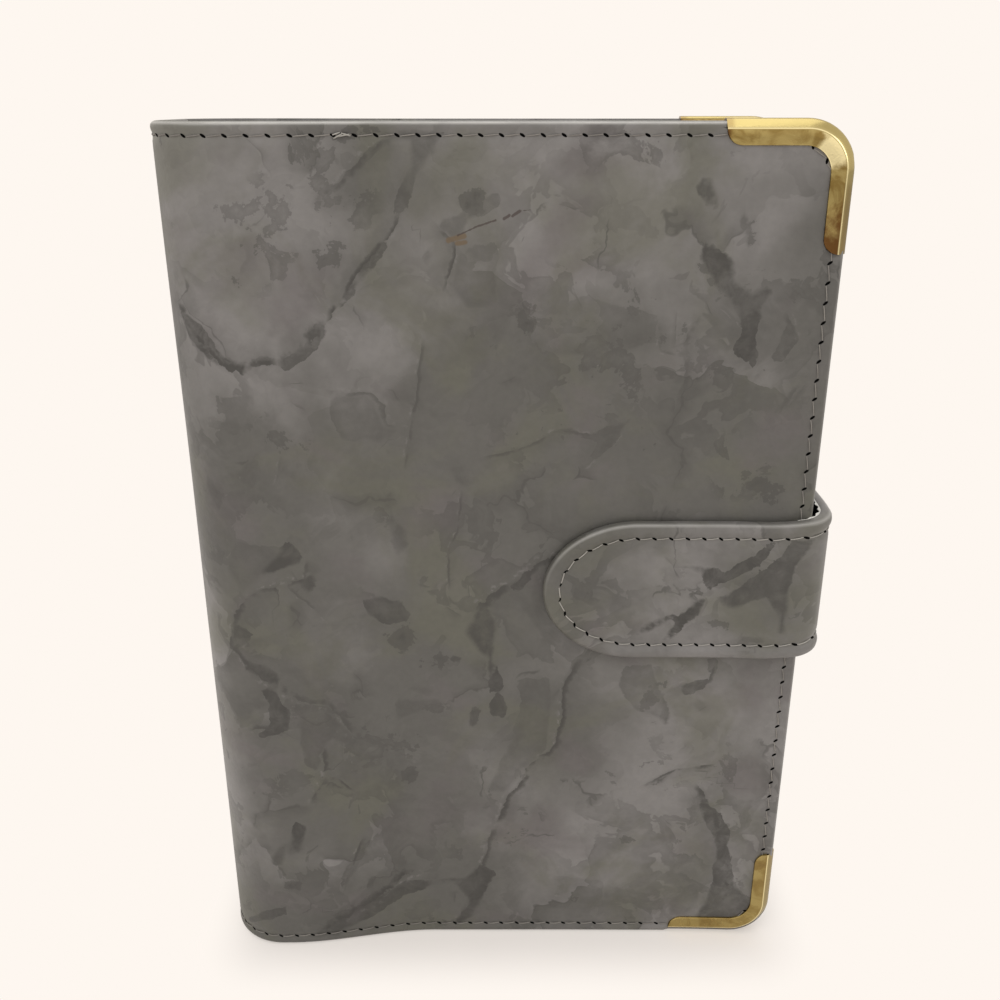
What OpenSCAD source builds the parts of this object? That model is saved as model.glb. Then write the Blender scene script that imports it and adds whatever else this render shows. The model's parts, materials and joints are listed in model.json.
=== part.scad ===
// Six-ring budget binder, closed and standing on its lower edges. Board covers in
// leather wrap a ring mechanism that carries zip pouches and budget sheets. Metal
// corners guard the fore-edge, and a strap with hidden magnets holds it shut.
// Millimetres. +Z is up, +X points to the fore-edge, and the front cover faces -Y.
// Inside the modules x is measured from the back of the spine.

/* [Cover] */
// Height of the covers and the spine
cover_h = 190; // [180:1:230]
// Width of the front cover, from the back of the spine to its fore-edge
front_reach = 132; // [128:1:150]
// How far the back cover's fore-edge stays short of the front cover's
back_setback = 4; // [0:0.5:6]
// Thickness of the closed binder at its spine
spine_t = 40; // [39:0.5:48]
// How far each cover draws in towards its middle
cover_dip = 4.2; // [2:0.1:5.5]
// Distance from the spine where a cover starts to draw in
dip_start = 15; // [14:1:20]
// Distance from the spine where a cover has drawn in fully
dip_end = 50; // [40:1:60]
// How far a cover flares out again at its fore-edge
edge_rise = 0.8; // [0.2:0.1:1.5]
// Distance from the spine where the flare starts
rise_start = 104; // [98:1:110]
// Outer radius of the soft fold between a cover and the spine
fold_r = 13; // [12:0.5:14]
// Thickness of the soft fold
fold_t = 1.5; // [1:0.1:2]
// Radius of the covers' corners at the fore-edge
corner_r = 9; // [6:0.5:12]
// Thickness of the leather
skin_t = 0.8; // [0.6:0.1:1.2]
// Thickness of the board inside a cover
board_t = 1.5; // [1.3:0.1:2]
// Thickness of the inner lining
lining_t = 0.7; // [0.5:0.1:1]
// Width of the leather that is turned round a board's edge
edge_wall = 1.2; // [1:0.1:2]

/* [Metal corners] */
// Length of each arm of a corner
corner_arm = 24.5; // [18:0.5:30]
// Width of each arm
corner_w = 4.8; // [4:0.2:7]
// Radius inside the angle of a corner
corner_in_r = 5; // [3:0.5:8]
// Radius at the end of each arm
corner_end_r = 3; // [1:0.2:3.8]
// Thickness of the sheet metal
metal_t = 0.5; // [0.3:0.1:0.7]
// Width of the bevel between a corner's flat face and its edge
metal_bevel = 1.7; // [1:0.1:1.9]
// How far the leather stays pressed back past the end of each arm
press_past = 0.1; // [0.1:0.05:0.5]

/* [Strap] */
// Height of the strap
strap_h = 32; // [24:1:40]
// How far the strap reaches over the front cover
strap_front = 56; // [48:1:70]
// How far the strap is sewn down on the back cover
strap_back = 40; // [25:1:60]
// Length of the strap's rounded tip
tip_l = 20; // [14:1:24]
// How far the strap stands out past the front cover's fore-edge
strap_bulge = 4.5; // [4:0.1:9]
// Thickness of the strap's leather
strap_skin_t = 1.2; // [1:0.1:1.5]
// Thickness of the strap's lining
strap_lining_t = 1; // [0.9:0.1:1.3]
// Gap between the closed strap and the front cover
strap_gap = 0.3; // [0.2:0.1:0.6]
// Distance from the back cover's edge to the line where the strap flexes
flex_out = 1.5; // [1:0.1:2.5]
// Diameter of the magnets
magnet_d = 15; // [10:1:18]
// Distance from the strap's tip to the magnets
magnet_in = 17; // [14:1:20]
// Thickness of the magnet in the front cover
cover_magnet_t = 1; // [0.7:0.1:1.1]
// Thickness of the magnet in the strap
strap_magnet_t = 0.7; // [0.5:0.1:0.8]

/* [Ring mechanism] */
// Number of rings
ring_count = 6; // [6:2:6]
// Spacing of the rings within each group of three
ring_pitch = 19; // [16:0.5:20]
// Spacing across the middle of the two groups
ring_mid_gap = 51; // [46:0.5:54]
// Inner diameter of a closed ring
ring_d = 22; // [20:0.5:22.5]
// Diameter of the ring wire
wire_d = 2.6; // [2.2:0.1:2.8]
// Length of the shell that covers the blades
shell_l = 172; // [168:1:176]
// Outer radius of the shell's curve
shell_r = 7.2; // [7:0.1:7.6]
// Sheet thickness of the shell
shell_wall = 0.6; // [0.4:0.1:0.8]
// Height of the shell above the lining
shell_rise = 6.5; // [6.2:0.1:6.8]
// Sheet thickness of the two blades
blade_t = 0.8; // [0.6:0.1:1]
// How far the blades stop short of the shell's ends
blade_in = 9; // [8:0.5:12]
// Shank diameter of the two rivets
rivet_d = 3.6; // [3:0.1:4.5]

/* [Leaves] */
// Number of zip pouches
pouch_count = 6; // [6:1:6]
// Width of a pouch
pouch_w = 98; // [90:1:100]
// Height of the pouches and the sheets
leaf_h = 171; // [150:1:172]
// Thickness of a pouch's films
film_t = 0.8; // [0.6:0.1:1]
// Width of the budget sheets
sheet_w = 95; // [85:1:98]
// Thickness of the stack of budget sheets
sheets_t = 1.5; // [0.5:0.1:1.8]
// Radius of the leaves' corners
leaf_corner_r = 3; // [1:0.5:5]
// Diameter of the punched holes
hole_d = 6; // [5.8:0.1:6.5]
// Distance from a leaf's inner edge to the middle of its holes
hole_margin = 5.5; // [5:0.1:6.5]
// Width of the slit that a zip closes
slit_w = 6; // [5.5:0.1:7]
// Distance from a pouch's inner edge to its slit
slit_start = 15; // [14:0.5:25]
// Distance from a pouch's slit to its outer edge
slit_end = 5; // [4:0.5:15]
// Height of a zip's tape
tape_h = 11; // [9:0.5:13]
// Distance from a pouch's top to the middle of its zip
zip_drop = 14; // [12:1:20]
// Length of a zip's slider
slider_l = 9; // [7:0.5:10]
// Height of a zip's slider
slider_h = 8; // [7.6:0.1:9]
// Length of a slider's pull
pull_l = 11; // [8:0.5:14]
// Gap between the sliders of neighbouring pouches
slider_gap = 0.3; // [0.2:0.05:0.5]

/* [Pockets] */
// Distance from the back of the spine to the pockets
pocket_x = 30; // [26:1:45]
// Height of the pockets' lower edge
pocket_z = 8; // [5:1:20]
// Gap between the pockets and the metal corners
pocket_clear = 5.7; // [2:0.1:20]
// Thickness of each card slot
slot_t = 0.4; // [0.3:0.1:0.5]
// Height of the tallest card slot
slot_h = 138; // [120:1:150]
// How far each card slot stands lower than the one behind it
slot_step = 12; // [8:1:16]
// Radius of the card slots' corners
slot_corner_r = 2; // [1:0.5:5]
// Thickness of the pocket on the back cover
pocket_t = 0.6; // [0.4:0.1:0.8]
// Height of that pocket on its spine side
pocket_h = 112; // [90:1:140]
// How far that pocket's top slopes down
pocket_slope = 24; // [0:1:40]

/* [Hidden] */
$fn = 64;

leather_grey = [0.45, 0.44, 0.42];
lining_black = [0.08, 0.08, 0.08];
board_brown = [0.55, 0.45, 0.33];
gold = [0.80, 0.66, 0.36];
steel = [0.75, 0.76, 0.78];
film_clear = [0.80, 0.85, 0.88];
paper_cream = [0.93, 0.91, 0.86];

cover_t = skin_t + board_t + lining_t;
back_reach = front_reach - back_setback;
total_w = front_reach + strap_bulge;
half_t = spine_t / 2;
mid_z = cover_h / 2;
fold_y = half_t - fold_r;
far = 2 * cover_h;
over = 1;
dip_steps = 12;
rise_steps = 5;
arc_steps = 9;

// Height profile of a cover's outer face: it draws in behind the spine, runs
// flat, and flares out a little at the fore-edge.
function unit(t) = min(max(t, 0), 1);
function ease(t) = unit(t) * unit(t) * (3 - 2 * unit(t));
function dip_at(x) = cover_dip * ease((x - dip_start) / (dip_end - dip_start));
function rise_at(x, reach) = edge_rise * pow(unit((x - rise_start) / (reach - rise_start)), 2);
function cover_y(x, reach) = rise_at(x, reach) * -1 + dip_at(x) - half_t;
function rise_stations(reach) = [
    for (i = [0 : rise_steps]) rise_start + (reach - rise_start) * i / rise_steps
];
function dip_stations() = [
    for (i = [0 : dip_steps]) dip_start + (dip_end - dip_start) * i / dip_steps
];
function arc(cx, cy, r, from, to) = [
    for (i = [0 : arc_steps])
        let (a = from + (to - from) * i / arc_steps) [cx + r * cos(a), cy + r * sin(a)]
];
function reversed(list) = [for (i = [len(list) - 1 : -1 : 0]) list[i]];

// Moves from the spine's frame to the part's own, centred on its whole width
module place() {
    translate([-total_w / 2, 0, 0]) children();
}

// Turns an outline drawn in x and z into a prism that runs through the part in y
module through_y() {
    rotate([90, 0, 0]) linear_extrude(far, center = true) children();
}

// A sheet of thickness t, drawn in x and z, centred on the plane y
module sheet(y, t) {
    translate([0, y, 0]) rotate([90, 0, 0]) linear_extrude(t, center = true) children();
}

module round_rect(x0, z0, w, h, r) {
    polygon(concat(
        arc(x0 + r, z0 + r, r, 180, 270),
        arc(x0 + w - r, z0 + r, r, 270, 360),
        arc(x0 + w - r, z0 + h - r, r, 0, 90),
        arc(x0 + r, z0 + h - r, r, 90, 180)
    ));
}

// The layer of a front cover between two depths below its outer face, from above
module cover_band(reach, from, to, start, past) {
    first = concat([start], dip_stations(), rise_stations(reach));
    xs = past > 0 ? concat(first, [reach + past]) : first;
    polygon(concat(
        [for (x = xs) [x, cover_y(x, reach) + from]],
        [for (x = reversed(xs)) [x, cover_y(x, reach) + to]]
    ));
}

// A cover's outline from the front, let in below for the metal of its lower corner
module cover_outline(reach, inset, start) {
    r = corner_r - inset;
    x1 = reach - inset;
    z0 = metal_t + inset;
    z1 = cover_h - inset;
    notch_x = reach + metal_t - corner_arm;
    polygon(concat(
        [[start, inset], [notch_x, inset], [notch_x, z0]],
        arc(x1 - r, z0 + r, r, 270, 360),
        arc(x1 - r, z1 - r, r, 0, 90),
        [[start, z1]]
    ));
}

module panel(reach, from, to, inset = 0, start = fold_r) {
    intersection() {
        translate([0, 0, -over])
            linear_extrude(cover_h + 2 * over) cover_band(reach, from, to, start, 0);
        through_y() cover_outline(reach, inset, start);
    }
}

// Wedge that bevels a metal corner, deep under its faces, along the chord of the
// cover's flare: a straight prism for each arm, and between them what is left of a
// square round a tapered quarter with the same steps as the corner's outline
module corner_wedge(reach, top, deep) {
    leg = metal_bevel + deep * sqrt(2);
    r = corner_r + metal_t;
    r0 = r - leg - over;
    r1 = r + over;
    h = leg + 2 * over;
    rise = cover_y(reach - corner_arm, reach) - cover_y(reach, reach);
    from_end(top) translate([reach + metal_t, cover_y(reach, reach) - metal_t, 0])
        rotate([0, 0, -atan(rise / corner_arm)]) union() {
            arm_wedge(leg, r);
            mirror([1, 0, 1]) arm_wedge(leg, r);
            translate([-r, -over, r]) rotate([-90, 0, 0]) difference() {
                linear_extrude(h) square(r1);
                linear_extrude(h, scale = r1 / r0) polygon(concat([[0, 0]], arc(0, 0, r0, 0, 90)));
            }
        }
}

module arm_wedge(leg, start) {
    translate([0, 0, start]) linear_extrude(corner_arm - start + press_past)
        polygon([[over, -over], [-leg - over, -over], [over, leg + over]]);
}

// Heights that are counted from the metal's lower edge, or down from its upper one
module from_end(top) {
    if (top) translate([0, 0, cover_h + metal_t]) mirror([0, 0, 1]) children();
    else children();
}

// The space inside a cover's leather, pressed back under the metal corners
module pressed_panel(reach) {
    difference() {
        panel(reach, 0, cover_t);
        for (top = [false, true]) corner_wedge(reach, top, metal_t);
    }
}

// Leather over a board, turned in round its three free edges
module cover_skin(reach) {
    color(leather_grey) difference() {
        pressed_panel(reach);
        panel(reach, skin_t, cover_t + over, edge_wall, fold_r - over);
    }
}

module cover_board(reach) {
    color(board_brown) panel(reach, skin_t, skin_t + board_t, edge_wall);
}

module cover_lining(reach) {
    color(lining_black) panel(reach, skin_t + board_t, cover_t, edge_wall);
}

// Spine: the same three layers in a flat strip between the two folds
module spine_layer(from, to, inset) {
    translate([from, -fold_y, inset]) cube([to - from, 2 * fold_y, cover_h - 2 * inset]);
}

module spine_skin() {
    place() color(leather_grey) difference() {
        spine_layer(0, cover_t, 0);
        translate([skin_t, -fold_y - over, edge_wall])
            cube([cover_t, 2 * (fold_y + over), cover_h - 2 * edge_wall]);
    }
}

module spine_board() {
    place() color(board_brown) difference() {
        spine_layer(skin_t, skin_t + board_t, edge_wall);
        for (z = rivet_zs) {
            rivet_bore(z, skin_t - over, skin_t + flange_t, flange_d);
            rivet_bore(z, skin_t, cover_t, rivet_d);
        }
    }
}

module spine_lining() {
    place() color(lining_black) difference() {
        spine_layer(skin_t + board_t, cover_t, edge_wall);
        for (z = rivet_zs) rivet_bore(z, skin_t, cover_t + over, rivet_d);
    }
}

// A soft fold is a quarter of a tube, with no board in it
module fold() {
    color(leather_grey) intersection() {
        translate([fold_r, -fold_y, 0]) difference() {
            cylinder(r = fold_r, h = cover_h);
            translate([0, 0, -over]) cylinder(r = fold_r - fold_t, h = cover_h + 2 * over);
        }
        translate([-over, -half_t - over, 0]) cube([fold_r + over, fold_r + over, cover_h]);
    }
}

module front_fold() {
    place() fold();
}

module back_fold() {
    place() mirror([0, 1, 0]) fold();
}

// Front cover, with a magnet let into the outside of its board
magnet_x = front_reach - strap_front + magnet_in;

module magnet_at(y, t, d) {
    translate([magnet_x, y, mid_z]) rotate([-90, 0, 0]) cylinder(d = d, h = t);
}

module front_skin() {
    place() cover_skin(front_reach);
}

module front_board() {
    place() difference() {
        cover_board(front_reach);
        magnet_at(flat_y + skin_t - over, cover_magnet_t + over, magnet_d);
    }
}

module front_lining() {
    place() cover_lining(front_reach);
}

module front_magnet() {
    place() color(steel) magnet_at(flat_y + skin_t, cover_magnet_t, magnet_d);
}

// Pockets reach from pocket_x to a fixed gap before the metal corners
function pocket_w(reach) = reach + metal_t - corner_w - pocket_clear - pocket_x;

// Card slots are stacked on the front cover's lining, each lower than the last
module card_slot(i) {
    depth = cover_t + (i - 1) * slot_t;
    h = slot_h - (i - 1) * slot_step;
    place() color(lining_black) intersection() {
        translate([0, 0, -over]) linear_extrude(cover_h)
            cover_band(front_reach, depth, depth + slot_t, fold_r, 0);
        through_y() round_rect(pocket_x, pocket_z, pocket_w(front_reach), h, slot_corner_r);
    }
}

// Back cover: the same build, mirrored, with one sloping pocket
module back_skin() {
    place() mirror([0, 1, 0]) cover_skin(back_reach);
}

module back_board() {
    place() mirror([0, 1, 0]) cover_board(back_reach);
}

module back_lining() {
    place() mirror([0, 1, 0]) cover_lining(back_reach);
}

module back_pocket() {
    x1 = pocket_x + pocket_w(back_reach);
    z1 = pocket_z + pocket_h;
    place() mirror([0, 1, 0]) color(lining_black) intersection() {
        translate([0, 0, -over]) linear_extrude(cover_h)
            cover_band(back_reach, cover_t, cover_t + pocket_t, fold_r, 0);
        through_y() polygon([
            [pocket_x, pocket_z],
            [x1, pocket_z],
            [x1, z1 - pocket_slope],
            [pocket_x, z1]
        ]);
    }
}

// L-shaped corner: a channel of sheet metal that grips both faces and the edge.
// a runs in from the metal's fore-edge and b from its upper or lower edge.
function corner_points() = concat(
    [[corner_arm, 0]],
    reversed(arc(corner_r + metal_t, corner_r + metal_t, corner_r + metal_t, 180, 270)),
    [[0, corner_arm]],
    reversed(arc(corner_w - corner_end_r, corner_arm - corner_end_r, corner_end_r, 0, 90)),
    arc(corner_w + corner_in_r, corner_w + corner_in_r, corner_in_r, 180, 270),
    reversed(arc(corner_arm - corner_end_r, corner_w - corner_end_r, corner_end_r, 0, 90))
);

module corner(reach, top) {
    color(gold) difference() {
        intersection() {
            translate([0, 0, -over]) linear_extrude(cover_h + 3 * over)
                cover_band(reach, -metal_t, cover_t + metal_t, fold_r, metal_t + over);
            through_y() polygon([
                for (p = corner_points())
                    [reach + metal_t - p[0], top ? cover_h + metal_t - p[1] : p[1]]
            ]);
        }
        corner_wedge(reach, top, 0);
        pressed_panel(reach);
    }
}

module corner_front_top() {
    place() corner(front_reach, true);
}

module corner_front_bottom() {
    place() corner(front_reach, false);
}

module corner_back_top() {
    place() mirror([0, 1, 0]) corner(back_reach, true);
}

module corner_back_bottom() {
    place() mirror([0, 1, 0]) corner(back_reach, false);
}

// Strap: sewn on the back cover, it flexes at the cover's edge, turns round the
// fore-edge and ends in a rounded tip on the front. d is the height above its
// inner face.
strap_t = strap_skin_t + strap_lining_t;
tip_x = front_reach - strap_front;
bend_r = strap_bulge - strap_t;
bend_x = front_reach;
flex_x = back_reach + flex_out;
front_in_y = cover_y(front_reach, front_reach) - strap_gap;
back_in_y = -cover_y(back_reach, back_reach);
flat_y = cover_y(magnet_x, front_reach);

function strap_path(d) = concat(
    [for (x = concat([tip_x - over], rise_stations(front_reach)))
        if (x < front_reach) [x, cover_y(x, front_reach) - strap_gap - d]],
    arc(bend_x, front_in_y + bend_r, bend_r + d, 270, 360),
    arc(bend_x, back_in_y - bend_r, bend_r + d, 0, 90),
    [[flex_x, back_in_y + d]]
);

function anchor_path(d) = [
    for (x = concat([back_reach - strap_back], rise_stations(back_reach), [flex_x]))
        if (x >= back_reach - strap_back) [x, d - cover_y(x, back_reach)]
];

module strap_outline() {
    half = strap_h / 2;
    polygon(concat(
        [for (i = [0 : 2 * arc_steps])
            let (a = 90 + 90 * i / arc_steps)
            [tip_x + tip_l + tip_l * cos(a), mid_z + half * sin(a)]],
        [[total_w + over, mid_z - half], [total_w + over, mid_z + half]]
    ));
}

module strap_layer(from, to) {
    intersection() {
        translate([0, 0, mid_z - strap_h]) linear_extrude(2 * strap_h)
            polygon(concat(strap_path(from), reversed(strap_path(to))));
        through_y() strap_outline();
    }
}

module strap_anchor() {
    place() color(leather_grey) translate([0, 0, mid_z - strap_h / 2]) linear_extrude(strap_h)
        polygon(concat(anchor_path(0), reversed(anchor_path(strap_t))));
}

module strap_leather() {
    place() color(leather_grey) strap_layer(strap_lining_t, strap_t);
}

module strap_lining() {
    place() color(lining_black) difference() {
        strap_layer(0, strap_lining_t);
        magnet_at(strap_magnet_y - over, strap_magnet_t + over, magnet_d);
    }
}

strap_magnet_y = flat_y - strap_gap - strap_lining_t;

module strap_magnet() {
    place() color(steel) magnet_at(strap_magnet_y, strap_magnet_t, magnet_d);
}

// Ring mechanism: a sprung shell holds two blades that rock on its lips, and each
// blade carries one half of every ring.
wire_r = wire_d / 2;
ring_r = ring_d / 2 + wire_r;
shell_top = cover_t + shell_rise;
shell_x = shell_top - shell_r;
shell_z = mid_z - shell_l / 2;
ring_clear = 0.6;
lip_t = 0.5;
lip_w = 1.7;
lip_over = 0.3;
pivot_rise = 1.3;
pivot_in = 1.4;
pivot_x = cover_t + pivot_rise;
pivot_y = shell_r - pivot_in;
blade_cant = 0.5;
blade_edge_x = pivot_x - blade_cant;
blade_edge_y = 0.15;
blade_l = shell_l - 2 * blade_in;
window_w = 1.6;
window_lift = 0.05;
foot_rise = 0.5;
ring_x = pivot_x + foot_rise + ring_r;
foot_angle = 15;
tip_r = 0.7;
tip_end_r = 0.2;
tip_h = 0.6;
tip_clear = 0.15;
flange_t = 0.6;
flange_over = 1.2;
flange_d = rivet_d + 2 * flange_over;
head_over = 1.7;
head_d = rivet_d + 2 * head_over;
head_t = 1.2;
rivet_in = 4.5;
rivet_zs = [shell_z + rivet_in, cover_h - shell_z - rivet_in];
ring_zs = [
    for (side = [-1, 1]) for (i = [0 : ring_count / 2 - 1])
        mid_z + side * (ring_mid_gap / 2 + i * ring_pitch)
];

module rivet_bore(z, from, to, d) {
    translate([from, 0, z]) rotate([0, 90, 0]) cylinder(d = d, h = to - from);
}

module shell_curve(r) {
    translate([shell_x, 0, shell_z]) cylinder(r = r, h = shell_l);
}

// Long plan of the shell, with round ends
module shell_plan() {
    rotate([0, 90, 0]) linear_extrude(shell_top + over) union() {
        translate([-cover_h + shell_z + shell_r, 0]) circle(r = shell_r);
        translate([-shell_z - shell_r, 0]) circle(r = shell_r);
        translate([-cover_h + shell_z + shell_r, -shell_r])
            square([shell_l - 2 * shell_r, 2 * shell_r]);
    }
}

// Window in the shell's side that a half ring rocks in
module ring_window(z, side) {
    half_h = wire_r + ring_clear;
    y0 = side > 0 ? pivot_y - window_w : -pivot_y - over;
    translate([cover_t + lip_t + window_lift, y0, z - half_h])
        cube([shell_rise, window_w + over, 2 * half_h]);
}

module ring_shell() {
    place() color(steel) difference() {
        intersection() {
            union() {
                difference() {
                    shell_curve(shell_r);
                    translate([0, 0, -over]) shell_curve(shell_r - shell_wall);
                    translate([0, 0, over]) shell_curve(shell_r - shell_wall);
                }
                for (side = [-1, 1])
                    translate([cover_t, side * (shell_r - lip_over - lip_w / 2) - lip_w / 2, shell_z])
                        cube([lip_t, lip_w, shell_l]);
            }
            translate([cover_t, -far, 0]) cube([far, 2 * far, far]);
            shell_plan();
        }
        for (z = ring_zs) for (side = [-1, 1]) ring_window(z, side);
        for (z = rivet_zs) rivet_bore(z, cover_t, shell_top + over, rivet_d);
    }
}

// A rivet is set from inside the board and domed over the shell's crown
module rivet(z) {
    place() color(steel) translate([0, 0, z]) rotate([0, 90, 0]) union() {
        translate([0, 0, skin_t]) cylinder(d = flange_d, h = flange_t);
        translate([0, 0, skin_t]) cylinder(d = rivet_d, h = shell_top - skin_t);
        translate([0, 0, shell_top]) cylinder(d1 = head_d, d2 = head_d - 2 * head_t, h = head_t);
    }
}

module rivet_top() {
    rivet(rivet_zs[1]);
}

module rivet_bottom() {
    rivet(rivet_zs[0]);
}

// Front blade, from its pivot edge to the edge that meets the other blade
module blade() {
    translate([0, 0, mid_z - blade_l / 2]) linear_extrude(blade_l) polygon([
        [pivot_x - blade_t / 2, -pivot_y],
        [blade_edge_x - blade_t / 2, -blade_edge_y],
        [blade_edge_x + blade_t / 2, -blade_edge_y],
        [pivot_x + blade_t / 2, -pivot_y]
    ]);
}

// Half rings on the front side: each foot stands on the blade
module half_rings() {
    difference() {
        for (z = ring_zs) translate([ring_x, 0, z])
            rotate_extrude(angle = 180 - foot_angle, start = 180 + foot_angle)
                translate([ring_r, 0]) circle(r = wire_r);
        blade();
    }
}

// The ring tips close in a cone, so that leaves slide across the joint
module tip_cones(grow) {
    for (z = ring_zs) translate([ring_x + ring_r, 0, z]) rotate([-90, 0, 0])
        translate([0, 0, -over]) union() {
            cylinder(r = tip_r + grow, h = over);
            translate([0, 0, over])
                cylinder(r1 = tip_r + grow, r2 = tip_end_r + grow, h = tip_h + grow);
        }
}

module blade_front() {
    place() color(steel) blade();
}

module blade_back() {
    place() color(steel) mirror([0, 1, 0]) blade();
}

module half_rings_front() {
    place() color(steel) union() {
        half_rings();
        tip_cones(0);
    }
}

module half_rings_back() {
    place() color(steel) difference() {
        mirror([0, 1, 0]) half_rings();
        tip_cones(tip_clear);
    }
}

// Leaves hang on the rings, as many as fit between the rings' steep flanks and
// between what lines the two covers.
leaf_gap = 0.2;
hang = 1.2;
ring_fill = 0.72;
leaf_reach = min(ring_fill * ring_r, half_t - cover_dip - cover_t - 3 * slot_t - leaf_gap);
leaf_pitch = (2 * leaf_reach - sheets_t - leaf_gap) / pouch_count;
leaf_z = mid_z - hang - leaf_h / 2;
sheets_y = leaf_reach - sheets_t / 2;
zip_z = leaf_z + leaf_h - zip_drop;

function pouch_y(i) = -leaf_reach + leaf_pitch * (i - 0.5);

// Middle of a punched hole: halfway between where the wire enters and leaves
function hole_x(y, t) =
    let (y_far = abs(y) + t / 2, y_near = max(abs(y) - t / 2, 0))
    ring_x + (sqrt(pow(ring_r - wire_r, 2) - y_far * y_far)
        + sqrt(pow(ring_r + wire_r, 2) - y_near * y_near)) / 2;
function leaf_x(y, t) = hole_x(y, t) - hole_margin;

module punched_leaf(y, t, w) {
    difference() {
        sheet(y, t) round_rect(leaf_x(y, t), leaf_z, w, leaf_h, leaf_corner_r);
        for (z = ring_zs) translate([hole_x(y, t), y + t, z - hang])
            rotate([90, 0, 0]) cylinder(d = hole_d, h = 2 * t);
    }
}

// Zip pouch: two films welded round their edges, slit across below the top
slit_l = pouch_w - slit_start - slit_end;
tape_t = 0.3;
tape_over = 2;
coil_h = 1.7;
coil_gap = 0.6;
coil_t = 1.2;
coil_clear = 0.1;
stop_l = 1;

module pouch(i) {
    y = pouch_y(i);
    place() color(film_clear) difference() {
        punched_leaf(y, film_t, pouch_w);
        sheet(y, 2 * film_t)
            translate([leaf_x(y, film_t) + slit_start, zip_z - slit_w / 2]) square([slit_l, slit_w]);
    }
}

// Zip: tape on the pouch's front, and two coils that pass through the slit
module zip(i) {
    y = pouch_y(i);
    x0 = leaf_x(y, film_t) + slit_start;
    place() color(lining_black) difference() {
        union() {
            sheet(y - (film_t + tape_t) / 2, tape_t) translate([x0 - tape_over, zip_z - tape_h / 2])
                square([slit_l + 2 * tape_over, tape_h]);
            sheet(y, coil_t) translate([x0 + coil_clear, zip_z - coil_gap / 2 - coil_h])
                square([slit_l - 2 * coil_clear, coil_gap + 2 * coil_h]);
        }
        sheet(y, 4 * film_t) translate([x0 + stop_l, zip_z - coil_gap / 2])
            square([slit_l - 2 * stop_l, coil_gap]);
    }
}

// Slider: two plates joined by a post between the coils, with a flat pull below.
// It rests at the fore-edge end, where the zip is closed.
slider_t = leaf_pitch - slider_gap;
slider_clear = 0.1;
plate_in = film_t / 2 + tape_t + slider_clear;
nose_l = 3;
nose_taper = 1.6;
heel_taper = 1.2;
post_l = 2;
post_w = coil_gap - 2 * slider_clear;
pull_w = 3.4;
pull_in = 1;
pull_over = 2;
pull_r = 1;
pull_hole = 1.8;
pull_hole_in = 2.4;

module slider_plate(x0) {
    half = slider_h / 2;
    shoulder = x0 + slider_l - nose_l;
    polygon([
        [x0, zip_z - half + heel_taper],
        [shoulder, zip_z - half],
        [x0 + slider_l, zip_z - half + nose_taper],
        [x0 + slider_l, zip_z + half - nose_taper],
        [shoulder, zip_z + half],
        [x0, zip_z + half - heel_taper]
    ]);
}

module slider_pull(x0) {
    z0 = zip_z - slider_h / 2 + pull_over - pull_l;
    difference() {
        round_rect(x0 + pull_in, z0, pull_w, pull_l, pull_r);
        translate([x0 + pull_in + pull_w / 2, z0 + pull_hole_in]) circle(d = pull_hole);
    }
}

module slider(i) {
    y = pouch_y(i);
    x0 = leaf_x(y, film_t) + pouch_w - slit_end - stop_l - slider_clear - slider_l;
    plate_t = slider_t / 2 - plate_in;
    plate_y = plate_in + plate_t / 2;
    place() color(steel) union() {
        for (side = [-1, 1]) sheet(y + side * plate_y, plate_t) slider_plate(x0);
        sheet(y, slider_t) translate([x0 + slider_l - nose_l, zip_z - post_w / 2])
            square([post_l, post_w]);
        sheet(y - plate_y, plate_t) slider_pull(x0);
    }
}

module budget_sheets() {
    place() color(paper_cream) punched_leaf(sheets_y, sheets_t, sheet_w);
}

spine_skin();
spine_board();
spine_lining();
front_fold();
back_fold();
front_skin();
front_board();
front_lining();
front_magnet();
card_slot(1);  // card_slot_1
card_slot(2);  // card_slot_2
card_slot(3);  // card_slot_3
back_skin();
back_board();
back_lining();
back_pocket();
corner_front_top();
corner_front_bottom();
corner_back_top();
corner_back_bottom();
strap_anchor();
strap_leather();
strap_lining();
strap_magnet();
ring_shell();
rivet_top();
rivet_bottom();
blade_front();
blade_back();
half_rings_front();
half_rings_back();
pouch(1);  // pouch_1
pouch(2);  // pouch_2
pouch(3);  // pouch_3
pouch(4);  // pouch_4
pouch(5);  // pouch_5
pouch(6);  // pouch_6
zip(1);  // zip_1
zip(2);  // zip_2
zip(3);  // zip_3
zip(4);  // zip_4
zip(5);  // zip_5
zip(6);  // zip_6
slider(1);  // slider_1
slider(2);  // slider_2
slider(3);  // slider_3
slider(4);  // slider_4
slider(5);  // slider_5
slider(6);  // slider_6
budget_sheets();
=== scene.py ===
# Budget binder: marble-print leather over board, gold corners, a magnetic strap and a six-ring inside.
# Lengths are millimetres. u runs from the back of the spine to the fore-edge, y through the binder, z up.
import json
import math
import random

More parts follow.
